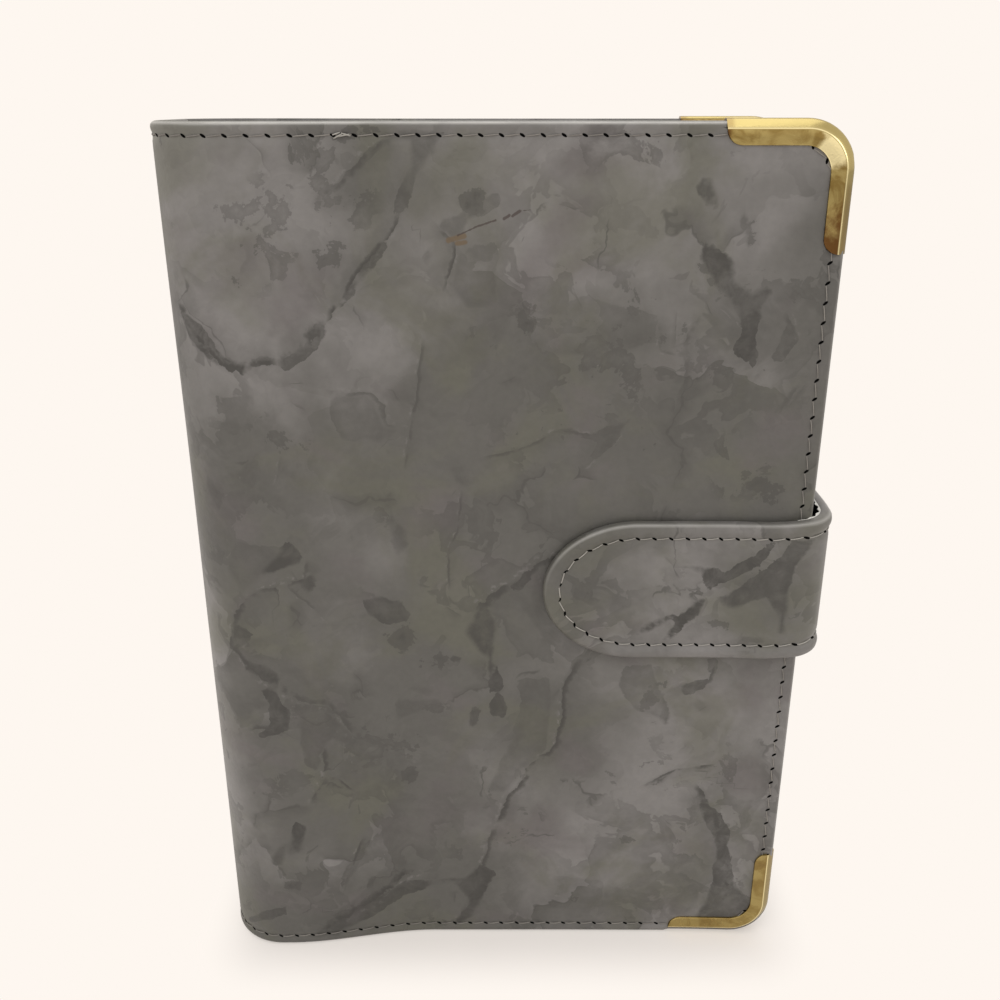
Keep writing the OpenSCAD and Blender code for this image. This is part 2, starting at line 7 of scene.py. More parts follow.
import bmesh
import bpy
import numpy as np
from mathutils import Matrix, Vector


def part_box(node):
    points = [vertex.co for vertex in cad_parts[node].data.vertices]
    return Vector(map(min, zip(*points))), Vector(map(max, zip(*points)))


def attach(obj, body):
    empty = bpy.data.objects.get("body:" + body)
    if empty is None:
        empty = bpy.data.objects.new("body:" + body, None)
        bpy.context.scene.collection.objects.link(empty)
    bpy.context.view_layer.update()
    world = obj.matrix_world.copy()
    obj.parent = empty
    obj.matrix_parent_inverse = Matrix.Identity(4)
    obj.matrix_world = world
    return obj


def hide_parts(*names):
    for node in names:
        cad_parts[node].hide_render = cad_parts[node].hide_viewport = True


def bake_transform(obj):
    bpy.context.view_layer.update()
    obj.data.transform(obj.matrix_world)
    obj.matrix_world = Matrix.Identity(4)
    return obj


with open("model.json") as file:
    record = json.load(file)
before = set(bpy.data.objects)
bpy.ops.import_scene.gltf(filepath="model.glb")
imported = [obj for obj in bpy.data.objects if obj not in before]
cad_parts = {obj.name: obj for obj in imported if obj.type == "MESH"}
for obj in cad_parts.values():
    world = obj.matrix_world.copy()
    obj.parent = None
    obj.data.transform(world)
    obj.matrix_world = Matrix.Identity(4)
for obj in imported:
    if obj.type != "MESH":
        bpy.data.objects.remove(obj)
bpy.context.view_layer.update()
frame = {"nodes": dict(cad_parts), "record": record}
nodes = frame["nodes"]
print("frame loaded with", len(nodes), "nodes")

metre = 1000                                    # millimetres in a metre
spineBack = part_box("spine_skin")[0].x * metre   # where u is 0


def nodeBox(name):
    shift = Vector((spineBack, 0, 0))
    low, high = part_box(name)
    return Vector(low) * metre - shift, Vector(high) * metre - shift


# The covers' shape, read from the frame where a box gives it
cover = {
    "height": nodeBox("front_skin")[1].z,
    "halfSpine": nodeBox("back_fold")[1].y,
    "front": nodeBox("front_skin")[1].x,        # reach of each cover, from the back of the spine
    "back": nodeBox("back_skin")[1].x,
    "foldRadius": nodeBox("front_fold")[1].x,
    "thickness": nodeBox("spine_lining")[1].x,
    "dip": 4.2, "dipStart": 15, "dipEnd": 50,   # the covers draw in behind the spine
    "flare": 0.8, "flareStart": 104,            # and flare out again at the fore-edge
    "cornerRadius": 9,
    "skin": 0.8, "foldSkin": 1.5, "edgeWall": 1.2,
    "edgeRound": 1.0, "innerRound": 0.4,
    "rowStep": 1.4, "foldStep": 1.0, "cornerSteps": 15,
}
spineFlat = cover["halfSpine"] - cover["foldRadius"]
foldEnd = spineFlat + cover["foldRadius"] * math.pi / 2   # path length from mid-spine to the end of the fold


def ease(t):
    t = np.clip(t, 0, 1)
    return t * t * (3 - 2 * t)


def coverFace(u, reach):
    drawn = cover["dip"] * ease((u - cover["dipStart"]) / (cover["dipEnd"] - cover["dipStart"]))
    flared = np.clip((u - cover["flareStart"]) / (reach - cover["flareStart"]), 0, 1) ** 2
    return drawn - cover["flare"] * flared - cover["halfSpine"]


def pathAt(u):
    # Path length from mid-spine, walking over the leather, to the place u on a cover
    u = np.asarray(u, float)
    r = cover["foldRadius"]
    turned = spineFlat + r * np.arccos(np.clip((r - u) / r, 0, 1))
    return np.where(u < r, turned, foldEnd + u - r)


def skinFrame(path, reach):
    # u, y and outward normal of the front half's outer face, at a path length from mid-spine
    path = np.asarray(path, float)
    r = cover["foldRadius"]
    turn = np.clip((path - spineFlat) / r, 0, math.pi / 2)
    onSpine = path < spineFlat
    beforeCover = path < foldEnd
    u = np.where(onSpine, 0, np.where(beforeCover, r - r * np.cos(turn), r + path - foldEnd))
    folded = np.where(onSpine, -path, -spineFlat - r * np.sin(turn))
    y = np.where(beforeCover, folded, coverFace(u, reach))
    slope = (coverFace(u + 0.05, reach) - coverFace(u - 0.05, reach)) / 0.1
    long = np.sqrt(1 + slope ** 2)
    nu = np.where(beforeCover, -np.cos(turn), slope / long)
    ny = np.where(beforeCover, -np.sin(turn), -1 / long)
    return u, y, nu, ny


def coverPlacer(side, reach):
    # Maps path length, height and depth below the leather's face to a place. side 1 is the front, -1 the back.
    def place(path, z, depth):
        u, y, nu, ny = skinFrame(path, reach)
        return np.stack([u - nu * depth, side * (y - ny * depth), z + 0 * u], -1)
    return place


seam = {
    "inset": 2.5, "pitch": 3.87, "groove": 0.22, "width": 0.75, "puff": 0.15, "wave": 0.08,
    "thread": 0.12, "lean": 0.5, "leanDown": 0.38, "cornerRadius": 12,
}


def edgeDistance(a, b, end, height, radius):
    da, db = end - a, np.minimum(b, height - b)
    inCorner = (da < radius) & (db < radius)
    return np.where(inCorner, radius - np.hypot(radius - da, radius - db), np.minimum(da, db))


def leatherLift(a, b, fromEdge, sewn):
    # The leather sinks along a seam, is a little full beside it, and is nowhere quite flat
    waves = np.sin(a / 17 + 0.6) * np.sin(b / 29 + 1.1) + 0.5 * np.sin(a / 9 + b / 13)
    sunk = sewn["groove"] * np.exp(-((fromEdge - sewn["inset"]) / sewn["width"]) ** 2)
    full = sewn["puff"] * np.exp(-((fromEdge - sewn["inset"] / 2) / (sewn["inset"] / 2.6)) ** 2)
    return sewn["wave"] * waves - sunk + full


# Outlines: rows of b with the place where each row ends, and the outline's normal there

def straightSteps(start, end, step):
    count = max(1, round((end - start) / step))
    return list(np.linspace(start, end, count + 1))[1:]


def boxRows(end, height, radius, inset, steps, rowStep):
    r = radius - inset
    turns = [math.pi / 2 * i / steps for i in range(steps + 1)]
    low = [(inset + r - r * math.cos(t), end - radius + r * math.sin(t), math.sin(t), -math.cos(t)) for t in turns]
    high = [(height - b, e, na, -nb) for b, e, na, nb in reversed(low)]
    middle = [(b, end - inset, 1, 0) for b in straightSteps(radius, height - radius, rowStep)[:-1]]
    return np.array(low + middle + high)


def tipRows(end, height, tip, inset, steps):
    half = height / 2
    rows = []
    for i in range(2 * steps + 1):
        t = math.pi * (i / (2 * steps) - 0.5)
        na, nb = math.cos(t) / tip, math.sin(t) / half
        size = math.hypot(na, nb)
        rows.append((half + (half - inset) * math.sin(t), end - tip + (tip - inset) * math.cos(t),
                     na / size, nb / size))
    return np.array(rows)


def gridOn(rows, columns, fixed):
    # Columns up to fixed stay, and the rest are spread over each row as far as it goes
    columns = np.array(columns)
    share = np.clip((columns - fixed) / (columns[-1] - fixed), 0, 1)
    a = np.where(columns <= fixed, columns, fixed + share * (rows[:, 1:2] - fixed))
    return a, np.repeat(rows[:, :1], len(columns), 1)


def borderOf(grid):
    return np.concatenate([grid[0], grid[1:-1, -1], grid[-1, ::-1]])


def meshObject(name, points, faces, unrolled=None, sharp=50):
    mesh = bpy.data.meshes.new(name)
    mesh.from_pydata((np.asarray(points) + [spineBack, 0, 0]) / metre, [], faces)
    work = bmesh.new()
    work.from_mesh(mesh)
    bmesh.ops.recalc_face_normals(work, faces=work.faces)
    work.to_mesh(mesh)
    work.free()
    if unrolled is not None:
        layer = mesh.uv_layers.new(name="unrolled")
        corner = np.zeros(len(mesh.loops), int)
        mesh.loops.foreach_get("vertex_index", corner)
        layer.uv.foreach_set("vector", (np.asarray(unrolled)[corner] / 100).astype(np.float32).ravel())
    mesh.shade_smooth()
    mesh.set_sharp_from_angle(angle=math.radians(sharp))
    thing = bpy.data.objects.new(name, mesh)
    bpy.context.scene.collection.objects.link(thing)
    return thing


def setAttribute(thing, name, values):
    attribute = thing.data.attributes.new(name, "FLOAT", "POINT")
    attribute.data.foreach_set("value", values.astype(np.float32))


def rimmedSheet(name, rowsAt, columns, fixed, place, rim, lift, flip=1):
    # A sheet with rounded, turned-in edges on three sides: face, rim, wall, lip and inner face
    outerRows, innerRows = rowsAt(rim["round"]), rowsAt(rim["wall"])
    outerA, outerB = gridOn(outerRows, columns, fixed)
    innerA, innerB = gridOn(innerRows, columns, fixed)
    raised = lift(outerA, outerB)
    borderA, borderB, borderLift = borderOf(outerA), borderOf(outerB), borderOf(raised)
    normalA = np.concatenate([0 * outerA[0], outerRows[1:-1, 2], 0 * outerA[-1]])
    normalB = np.concatenate([0 * outerA[0] - 1, outerRows[1:-1, 3], 0 * outerA[-1] + 1])
    deep, under = rim["deep"](borderA), rim["under"](innerA)
    big, small = rim["round"], rim["inner"]
    rings = []                                  # outward, depth, and length over the rim
    for t in np.radians([15, 30, 45, 60, 75, 90]):
        rings.append((big * math.sin(t), big * (1 - math.cos(t)) - borderLift * math.cos(t), big * t))
    for t in np.radians([0, 45, 90]):
        rings.append((big - small + small * math.cos(t), deep - small + small * math.sin(t), big * 1.6 + deep - big))
    rings.append((big - rim["wall"] + 0.15, deep, big * 1.6 + deep))
    points = [place(outerA, outerB, -raised).reshape(-1, 3)]
    unrolled = [np.stack([outerA, outerB], -1).reshape(-1, 2)]
    for out, depth, along in rings:
        points.append(place(borderA + normalA * out, borderB + normalB * out, depth))
        unrolled.append(np.stack([borderA + normalA * along, borderB + normalB * along], -1))
    points.append(place(innerA, innerB, under).reshape(-1, 3))
    unrolled.append(np.stack([innerA, innerB], -1).reshape(-1, 2))
    rowCount, columnCount = outerA.shape
    size, around = outerA.size, len(borderA)
    index = np.arange(size).reshape(rowCount, columnCount)
    border = borderOf(index)
    loops = [border] + [size + i * around + np.arange(around) for i in range(len(rings))]
    inner = index + size + len(rings) * around
    loops.append(borderOf(inner))
    faces = []
    for sheet in (index, inner):
        corners = (sheet[:-1, :-1], sheet[1:, :-1], sheet[1:, 1:], sheet[:-1, 1:])
        faces += np.stack([c.ravel() for c in corners], -1).tolist()
    for first, second in zip(loops, loops[1:]):
        faces += np.stack([first[:-1], first[1:], second[1:], second[:-1]], -1).tolist()
    faces += np.stack([index[:-1, 0], index[1:, 0], inner[1:, 0], inner[:-1, 0]], -1).tolist()
    faces += [[int(loop[0]) for loop in loops], [int(loop[-1]) for loop in loops]]
    unrolled = np.concatenate(unrolled) * [flip, 1]
    thing = meshObject(name, np.concatenate(points), faces, unrolled)
    # Painted highlight on the rim's outer rings, strongest along the top edge and faint along the bottom
    worn = [np.zeros(size)]
    for level in [0, 0.5, 1, 0.5] + [0] * (len(rings) - 4):
        worn.append(level * rim["wearAndHighlight"] * np.clip(0.2 + 0.8 * normalB, 0, 1))
    setAttribute(thing, "rimWearAndHighlight", np.concatenate(worn + [np.zeros(innerA.size)]))
    return thing, unrolled


def thinSheet(name, aList, bList, place, top, bottom, flip=1):
    # A plain sheet between two depths, with every side closed
    a, b = np.meshgrid(aList, bList)
    sheets = [place(a, b, top + 0 * a).reshape(-1, 3), place(a, b, bottom + 0 * a).reshape(-1, 3)]
    index = np.arange(a.size).reshape(a.shape)
    faces = []
    for shift in (0, a.size):
        corners = (index[:-1, :-1], index[1:, :-1], index[1:, 1:], index[:-1, 1:])
        faces += (np.stack([c.ravel() for c in corners], -1) + shift).tolist()
    loop = np.concatenate([index[0], index[1:, -1], index[-1, -2::-1], index[-2::-1, 0]])
    sides = np.stack([loop[:-1], loop[1:], loop[1:] + a.size, loop[:-1] + a.size], -1)
    plan = np.stack([a * flip, b], -1).reshape(-1, 2)
    return meshObject(name, np.concatenate(sheets), faces + sides.tolist(), np.concatenate([plan, plan]))


# Marble print: dark veins with one crisp side, and cloudy patches, as simple shapes on the unrolled leather.
# Each vein has a width, a strength and points; each patch a middle, two radii and a strength.

frontVeins = {
    "bowl": (2.9, 1.0, [(3, 158), (5, 153), (8, 149), (12, 145), (16, 144), (20, 145), (24, 145)]),
    "bowlThick": (3.6, 0.9, [(22, 144), (26, 146), (30, 150), (33, 154)]),
    "bowlRise": (1.5, 0.95, [(31, 151), (35, 156), (38, 161), (41, 165), (45, 169), (48, 174)]),
    "upperStreak": (-2.2, 0.75, [(30, 176), (36, 179), (41, 184), (47, 188)]),
    "crook": (-1.1, 0.85, [(53, 173), (58, 168), (57, 164), (55, 158)]),
    "stem": (1.2, 0.6, [(51, 150), (49, 137), (46, 122)]),
    "ledge": (-1.6, 0.6, [(31, 140), (36, 139), (40, 139), (43, 136), (43, 132), (46, 131)]),
    "tick": (0.9, 0.5, [(24, 138), (28, 135)]),
    "lens": (-2.0, 0.6, [(122, 156), (124, 151), (121, 145)]),
    "tongue": (2.0, 0.55, [(105, 155), (103, 149), (103, 137)]),
    "shield": (1.2, 0.5, [(97, 155), (98, 147), (102, 146)]),
    "arch": (-1.3, 0.6, [(62, 125), (71, 127), (78, 131), (84, 130), (92, 132)]),
    "archLow": (1.8, 0.5, [(82, 121), (87, 126), (93, 132)]),
    "rightLow": (1.7, 0.5, [(121, 133), (124, 137), (127, 141)]),
    "lobe": (2.2, 0.85, [(27, 99), (20, 98), (14, 96), (9, 91), (7, 83), (11, 78), (17, 72)]),
    "lobeFoot": (2.4, 0.65, [(16, 73), (22, 69), (28, 67), (31, 62), (34, 56)]),
    "twig": (1.1, 0.5, [(20, 98), (25, 93), (29, 88)]),
    "crack": (1.0, 0.65, [(58, 118), (57, 108), (55, 104), (55, 94)]),
    "crackLeft": (0.8, 0.4, [(22, 127), (20, 119)]),
    "underStrap": (2.6, 0.9, [(80, 104), (72, 99), (66, 95), (60, 89)]),
    "river": (2.2, 0.9, [(85, 78), (80, 71), (80, 63), (79, 55), (74, 50), (68, 40), (64, 31)]),
    "riverLow": (1.7, 0.75, [(65, 33), (62, 21), (60, 11), (55, 2)]),
    "hook": (-1.7, 0.8, [(102, 68), (107, 71), (113, 72), (115, 78)]),
    "dash": (-1.3, 0.85, [(99, 43), (106, 48), (117, 50)]),
    "comma": (-3.0, 0.95, [(112, 45), (116, 38), (120, 30), (121, 18), (123, 8)]),
    "shelf": (1.8, 0.8, [(9, 61), (14, 62), (20, 62)]),
    "forkLeft": (1.8, 0.8, [(26, 58), (26, 49), (22, 41)]),
    "forkArm": (-1.1, 0.8, [(26, 49), (29, 48), (33, 43)]),
    "leaf": (1.3, 0.8, [(34, 31), (31, 23), (28, 14)]),
    "diagonal": (3.6, 0.95, [(22, 2), (30, 8), (36, 11), (42, 16), (47, 20)]),
}
frontFacets = {                                 # dark facets, each with a strength and an outline
    "bowlLeft": (0.95, [(2, 158), (4, 154), (6, 149), (9, 146), (13, 144), (16, 144), (20, 146), (16, 146),
        (12, 148), (9, 152), (5, 156)]),
    "bowlRight": (0.75, [(22, 145), (25, 147), (28, 148), (30, 153), (33, 153), (31, 149), (28, 146), (24, 144)]),
    "bowlRise": (0.8, [(34, 156), (38, 163), (44, 169), (45, 168), (42, 164), (39, 160), (35, 155)]),
    "streak": (0.6, [(47, 189), (56, 188), (54, 184), (50, 179), (49, 174), (46, 173), (46, 176), (49, 182),
        (49, 186), (45, 186), (39, 181), (39, 182), (44, 187)]),
    "streakTail": (0.55, [(29, 176), (31, 178), (36, 180), (39, 182), (39, 181), (35, 177)]),
    "besideCrook": (0.42, [(56, 159), (58, 167), (66, 168), (66, 156), (60, 155)]),
    "aboveCrook": (0.45, [(53, 172), (59, 174), (66, 178), (66, 175), (60, 172), (58, 167), (55, 170)]),
    "ledge": (0.42, [(32, 140), (37, 139), (41, 139), (42, 136), (43, 132), (46, 131), (43, 128), (34, 129),
        (32, 135)]),
    "flockHead": (0.85, [(104, 180), (106, 180), (108, 176), (107, 174), (105, 175), (103, 178)]),
    "flockChain": (0.5, [(111, 177), (112, 177), (115, 168), (115, 165), (113, 167), (111, 173)]),
    "flockCore": (0.95, [(104, 165), (105, 169), (112, 165), (112, 161), (115, 159), (118, 161), (120, 159),
        (117, 153), (117, 144), (112, 147), (114, 151), (112, 155), (106, 162)]),
    "lens": (0.6, [(123, 154), (125, 150), (122, 145), (120, 146), (122, 150)]),
    "tongue": (0.4, [(105, 154), (103, 147), (102, 136), (107, 137), (111, 142), (107, 141), (105, 147)]),
    "midSpan": (0.32, [(68, 159), (75, 161), (77, 156), (83, 158), (97, 154), (97, 149), (92, 147), (90, 142),
        (85, 146), (74, 146)]),
    "archLow": (0.5, [(76, 130), (80, 132), (84, 130), (94, 134), (89, 127), (83, 122), (86, 128), (80, 130)]),
    "rightLow": (0.5, [(121, 133), (123, 137), (128, 141), (126, 136)]),
    "spineHigh": (0.55, [(6, 125), (8, 121), (10, 118), (9, 113), (7, 114), (5, 119)]),
    "wedge": (0.9, [(22, 109), (25, 103), (18, 100), (14, 99), (16, 102), (20, 104)]),
    "wedgeShade": (0.35, [(8, 101), (11, 108), (21, 106), (15, 98), (11, 95)]),
    "bar": (0.95, [(12, 95), (17, 97), (27, 100), (27, 97), (25, 94), (23, 98), (17, 96)]),
    "lobeDark": (0.8, [(12, 95), (10, 89), (13, 86), (9, 81), (7, 82), (8, 89)]),
    "lobeFill": (0.95, [(11, 80), (16, 78), (19, 75), (17, 72), (10, 77)]),
    "lobeFall": (0.95, [(13, 73), (16, 72), (19, 67), (20, 62), (14, 60), (9, 59), (15, 63), (15, 69)]),
    "plate": (0.5, [(21, 69), (28, 67), (35, 57), (32, 55), (28, 58), (25, 50), (22, 52), (20, 67)]),
    "blot": (0.75, [(36, 93), (40, 94), (45, 92), (47, 88), (41, 86), (37, 89)]),
    "elbow": (0.9, [(67, 96), (64, 90), (66, 87), (65, 78), (67, 70), (64, 69), (63, 77), (58, 84), (60, 89)]),
    "elbowArm": (0.85, [(68, 95), (73, 100), (73, 97), (70, 94)]),
    "drop": (0.85, [(64, 66), (66, 69), (68, 65), (67, 62), (64, 63)]),
    "dropLeft": (0.75, [(59, 65), (62, 65), (61, 59), (59, 60)]),
    "dot": (0.7, [(55, 79), (58, 78), (57, 76), (55, 77)]),
    "figure": (0.55, [(42, 119), (45, 117), (44, 113), (47, 109), (47, 105), (44, 102), (43, 107), (41, 114)]),
    "olive": (0.4, [(43, 68), (55, 67), (48, 63), (42, 61)]),
    "wash": (0.42, [(70, 72), (77, 73), (79, 68), (77, 54), (68, 41), (63, 42), (68, 55), (71, 64)]),
    "riverTop": (0.85, [(83, 78), (87, 78), (82, 72), (79, 66), (78, 69), (81, 74)]),
    "riverFoot": (0.9, [(61, 21), (65, 18), (63, 12), (60, 5), (54, 1), (58, 10), (55, 15), (46, 13), (46, 16),
        (58, 17)]),
    "pendant": (0.45, [(94, 76), (100, 76), (106, 61), (104, 61), (97, 64), (93, 70)]),
    "pendantTip": (0.8, [(104, 67), (106, 61), (104, 60), (101, 63)]),
    "hook": (0.75, [(104, 70), (107, 71), (114, 73), (113, 71), (109, 68), (104, 69)]),
    "hookTop": (0.6, [(112, 78), (115, 78), (114, 74), (113, 74)]),
    "dash": (0.85, [(100, 44), (106, 48), (116, 50), (107, 47), (104, 44)]),
    "comma": (0.9, [(112, 40), (115, 39), (118, 36), (121, 31), (123, 16), (128, 10), (128, 3), (114, 3),
        (118, 17), (117, 29), (114, 35)]),
    "commaLeft": (0.42, [(107, 10), (114, 16), (116, 11), (113, 5), (108, 5)]),
    "soft": (0.3, [(77, 18), (91, 16), (92, 7), (81, 9)]),
    "clump": (0.95, [(18, 37), (21, 35), (20, 28), (17, 26), (16, 29)]),
    "clumpLeft": (0.75, [(11, 25), (13, 29), (16, 31), (16, 26), (14, 23)]),
    "leaf": (0.6, [(34, 29), (29, 23), (28, 15), (31, 19), (35, 26)]),
    "diagonal": (0.8, [(19, 2), (24, 6), (35, 12), (44, 17), (47, 14), (36, 7), (26, 1)]),
    "base": (0.7, [(4, 4), (9, 10), (15, 12), (14, 9)]),
}
frontPatches = {
    "cornerDot": (4, 186, 2, 2, 0.6), "dot": (28, 184, 1.6, 3, 0.75), "crumb": (33, 167, 5, 4, 0.6),
    "besideScuff": (61, 176, 4, 3, 0.62), "flockLeft": (107, 164, 4, 3, 0.6), "flockChain": (114, 168, 2, 5, 0.62),
    "midLeft": (72, 154, 4, 6, 0.5), "aboveStrap": (92, 128, 8, 5, 0.5), "figure": (44, 112, 4, 6, 0.5),
    "spineMid": (5, 106, 4, 6, 0.5), "blotLow": (45, 83, 8, 4, 0.5), "elbowLow": (65, 76, 2.6, 8, 0.5),
    "dots": (53, 76, 4, 3, 0.55), "dropLeft": (61, 63, 1.8, 4, 0.5), "speck": (45, 46, 2.4, 3, 0.6),
    "spot": (17, 18, 3, 2, 0.7), "pendant": (101, 67, 5, 6, 0.45), "commaHook": (127, 10, 4, 4, 0.5),
    "softLow": (84, 12, 9, 4, 0.4), "besideStrap": (121, 119, 5, 7, 0.55), "rightSpot": (96, 28, 3, 2.4, 0.55),
    "topBand": (40, 188, 9, 3, 0.5), "upperLeft": (20, 166, 5, 8, 0.35),
}
frontTones = {                                  # broad light and dark fields, negative is darker
    "topLeft": (16, 172, 20, 24, 0.9), "topMiddle": (84, 182, 14, 12, 0.9), "topRight": (108, 182, 26, 16, 0.35),
    "centre": (74, 118, 38, 26, -1.0), "left": (16, 108, 18, 18, -0.9), "lowerMiddle": (52, 62, 30, 26, -0.75),
    "besideStem": (44, 152, 14, 12, 0.35), "right": (118, 56, 24, 34, 0.4), "footRight": (92, 28, 28, 22, 0.5),
    "aboveStrap": (90, 120, 14, 10, -0.9),
    # spineLowPaintedSheen lightens the fold's lower part as a painted sheen
    "spineLowPaintedSheen": (3, 60, 7, 42, 0.6), "footLeft": (38, 8, 30, 14, -1.2), "strapEdge": (122, 112, 14, 14, -0.7),
    "upperRight": (92, 152, 26, 14, -0.8), "streakShade": (42, 182, 10, 8, -0.6), "edgeHigh": (128, 150, 8, 26, -0.5),
    # foldHighPaintedShade and foldMiddlePaintedShade darken the fold's upper part and middle as painted shade
    "foldHighPaintedShade": (0.6, 150, 3, 46, -1.6), "foldMiddlePaintedShade": (0.6, 96, 3, 22, -0.9),
}


def wandering(seed, count, low, high, reach):
    # Veins that wander over the area between two corners
    draw = random.Random(seed)
    veins = {}
    for i in range(count):
        a, b = draw.uniform(low[0], high[0]), draw.uniform(low[1], high[1])
        heading, points = draw.uniform(0, 2 * math.pi), []
        for _ in range(draw.randint(3, 7)):
            points.append((a, b))
            heading += draw.uniform(-0.7, 0.7)
            a += reach * math.cos(heading) * draw.uniform(0.6, 1.3)
            b += reach * math.sin(heading) * draw.uniform(0.6, 1.3)
        width = draw.uniform(1.5, 4.2) * draw.choice((-1, 1))
        veins["wander%d" % i] = (width, draw.uniform(0.5, 1.0), points)
    return veins


def scattered(seed, count, low, high, radius, strength):
    draw = random.Random(seed)
    return {"patch%d" % i: (draw.uniform(low[0], high[0]), draw.uniform(low[1], high[1]),
                            radius * draw.uniform(0.5, 1.5), radius * draw.uniform(0.5, 1.5),
                            draw.uniform(*strength)) for i in range(count)}


def veinFields(plan, veins):
    # Distance to the nearest vein over its width, positive on its cloudy side, and that vein's strength
    best, side, power = np.full(len(plan), 1e9), np.full(len(plan), 9.0), np.zeros(len(plan))
    for width, strength, points in veins.values():
        points = np.array(points, float)
        steps = np.hypot(*np.diff(points, axis=0).T)
        total, walked = steps.sum(), 0.0
        for start, end, step in zip(points, points[1:], steps):
            along = (end - start) / step
            t = np.clip((plan - start) @ along, 0, step)
            away = plan - start - t[:, None] * along
            distance = np.hypot(away[:, 0], away[:, 1])
            turned = np.sign(along[0] * away[:, 1] - along[1] * away[:, 0] + 1e-12) * math.copysign(1, width)
            near = distance < best
            share = (walked + t) / total
            best = np.where(near, distance, best)
            side = np.where(near, turned * distance / abs(width), side)
            ends = ease(share * total / 3) * ease((1 - share) * total / 3)
            power = np.where(near, strength * ends * ease(2.6 - 0.6 * distance / abs(width)), power)
            walked += step
    return side, power


def facetFields(plan, facets):
    # Depth inside the nearest facet, negative outside it, and that facet's strength
    best, power = np.full(len(plan), -9.0), np.zeros(len(plan))
    for strength, points in facets.values():
        points = np.array(points, float)
        away, inside = np.full(len(plan), 99.0), np.zeros(len(plan), bool)
        for start, end in zip(points, np.roll(points, -1, 0)):
            along = end - start
            t = np.clip((plan - start) @ along / (along @ along), 0, 1)
            away = np.minimum(away, np.hypot(*(plan - start - t[:, None] * along).T))
            crosses = (start[1] > plan[:, 1]) != (end[1] > plan[:, 1])
            slope = along[0] / (along[1] or 1e-9)
            inside ^= crosses & (plan[:, 0] < start[0] + slope * (plan[:, 1] - start[1]))
        depth = np.where(inside, away, -away)
        nearer = depth > best
        best, power = np.where(nearer, depth, best), np.where(nearer, strength, power)
    return best, power


def cutFacets(seed, count, low, high, radius):
    # Random facets for the sides that the photograph doesn't show
    draw = random.Random(seed)
    facets = {}
    for i in range(count):
        a, b, size = draw.uniform(low[0], high[0]), draw.uniform(low[1], high[1]), radius * draw.uniform(0.5, 1.6)
        turns = sorted(draw.uniform(0, 2 * math.pi) for _ in range(7))
        points = [(a + size * draw.uniform(0.4, 1.3) * math.cos(t), b + size * draw.uniform(0.4, 1.3) * math.sin(t))
                  for t in turns]
        facets["facet%d" % i] = (draw.uniform(0.35, 0.9), points)
    return facets


def spread(plan, patches):
    total = np.zeros(len(plan))
    for a, b, ra, rb, strength in patches.values():
        total += strength * np.exp(-((plan[:, 0] - a) / ra) ** 2 - ((plan[:, 1] - b) / rb) ** 2)
    return total


def printMarble(thing, plan, veins, facets, patches, tones):
    side, power = veinFields(plan, veins)
    depth, facetPower = facetFields(plan, facets)
    fields = {"veinSide": side, "veinPower": power, "facet": depth, "facetPower": facetPower,
              "patch": spread(plan, patches), "tone": spread(plan, tones)}
    for name, values in fields.items():
        setAttribute(thing, name, values)


def onPath(marks):
    # The same marks with u turned into path length round the fold
    return {name: (float(pathAt(m[0])), *m[1:]) for name, m in marks.items()}


def routesOnPath(routes):
    return {name: (*looks, [(float(pathAt(u)), z) for u, z in points]) for name, (*looks, points) in routes.items()}


# Shader helpers

def newMaterial(name):
    material = bpy.data.materials.new(name)
    material.use_nodes = True
    return material, material.node_tree, material.node_tree.nodes["Principled BSDF"]


def setInputs(tree, node, inputs):
    for name, value in inputs.items():
        socket = node.inputs[name]
        if isinstance(value, bpy.types.NodeSocket):
            tree.links.new(value, socket)
        else:
            socket.default_value = value
    return node


def addNode(tree, kind, inputs=None, **settings):
    node = tree.nodes.new("ShaderNode" + kind)
    for name, value in settings.items():
        setattr(node, name, value)
    return setInputs(tree, node, inputs or {})


def maths(tree, operation, first, second=0.0, third=0.0, clamp=False):
    node = addNode(tree, "Math", {0: first, 1: second, 2: third}, operation=operation, use_clamp=clamp)
    return node.outputs[0]


def blendColour(tree, factor, first, second, mode="MIX"):
    node = addNode(tree, "Mix", {0: factor, 6: first, 7: second}, data_type="RGBA", blend_type=mode)
    return node.outputs[2]


def ramp(tree, value, low, high, outLow=0.0, outHigh=1.0):
    node = addNode(tree, "MapRange", {"Value": value, "From Min": low, "From Max": high, "To Min": outLow,
                                      "To Max": outHigh}, interpolation_type="SMOOTHSTEP")
    return node.outputs[0]


def cloud(tree, vector, size, detail=3.0, rough=0.55, distortion=0.0, shift=0.0):
    # Noise whose features are about size across
    moved = addNode(tree, "Mapping", {"Vector": vector, "Location": (shift, 1.7 * shift, 0.3 * shift),
                                      "Scale": (1 / size, 1 / size, 1 / size)})
    node = addNode(tree, "TexNoise", {"Vector": moved.outputs[0], "Scale": 1.0, "Detail": detail,
                                      "Roughness": rough, "Distortion": distortion})
    return node.outputs[0]


def warped(tree, vector, size, amount, shift=0.0):
    # The same vector, pushed about in waves of about that size
    moved = addNode(tree, "Mapping", {"Vector": vector, "Location": (shift, 1.3 * shift, 0.0),
                                      "Scale": (1 / size, 1 / size, 1 / size)})
    waves = addNode(tree, "TexNoise", {"Vector": moved.outputs[0], "Scale": 1.0, "Detail": 2.0})
    push = addNode(tree, "VectorMath", {0: waves.outputs["Color"], 1: (amount,) * 3, 2: (-amount / 2,) * 3},
                   operation="MULTIPLY_ADD")
    return addNode(tree, "VectorMath", {0: vector, 1: push.outputs[0]}, operation="ADD").outputs[0]


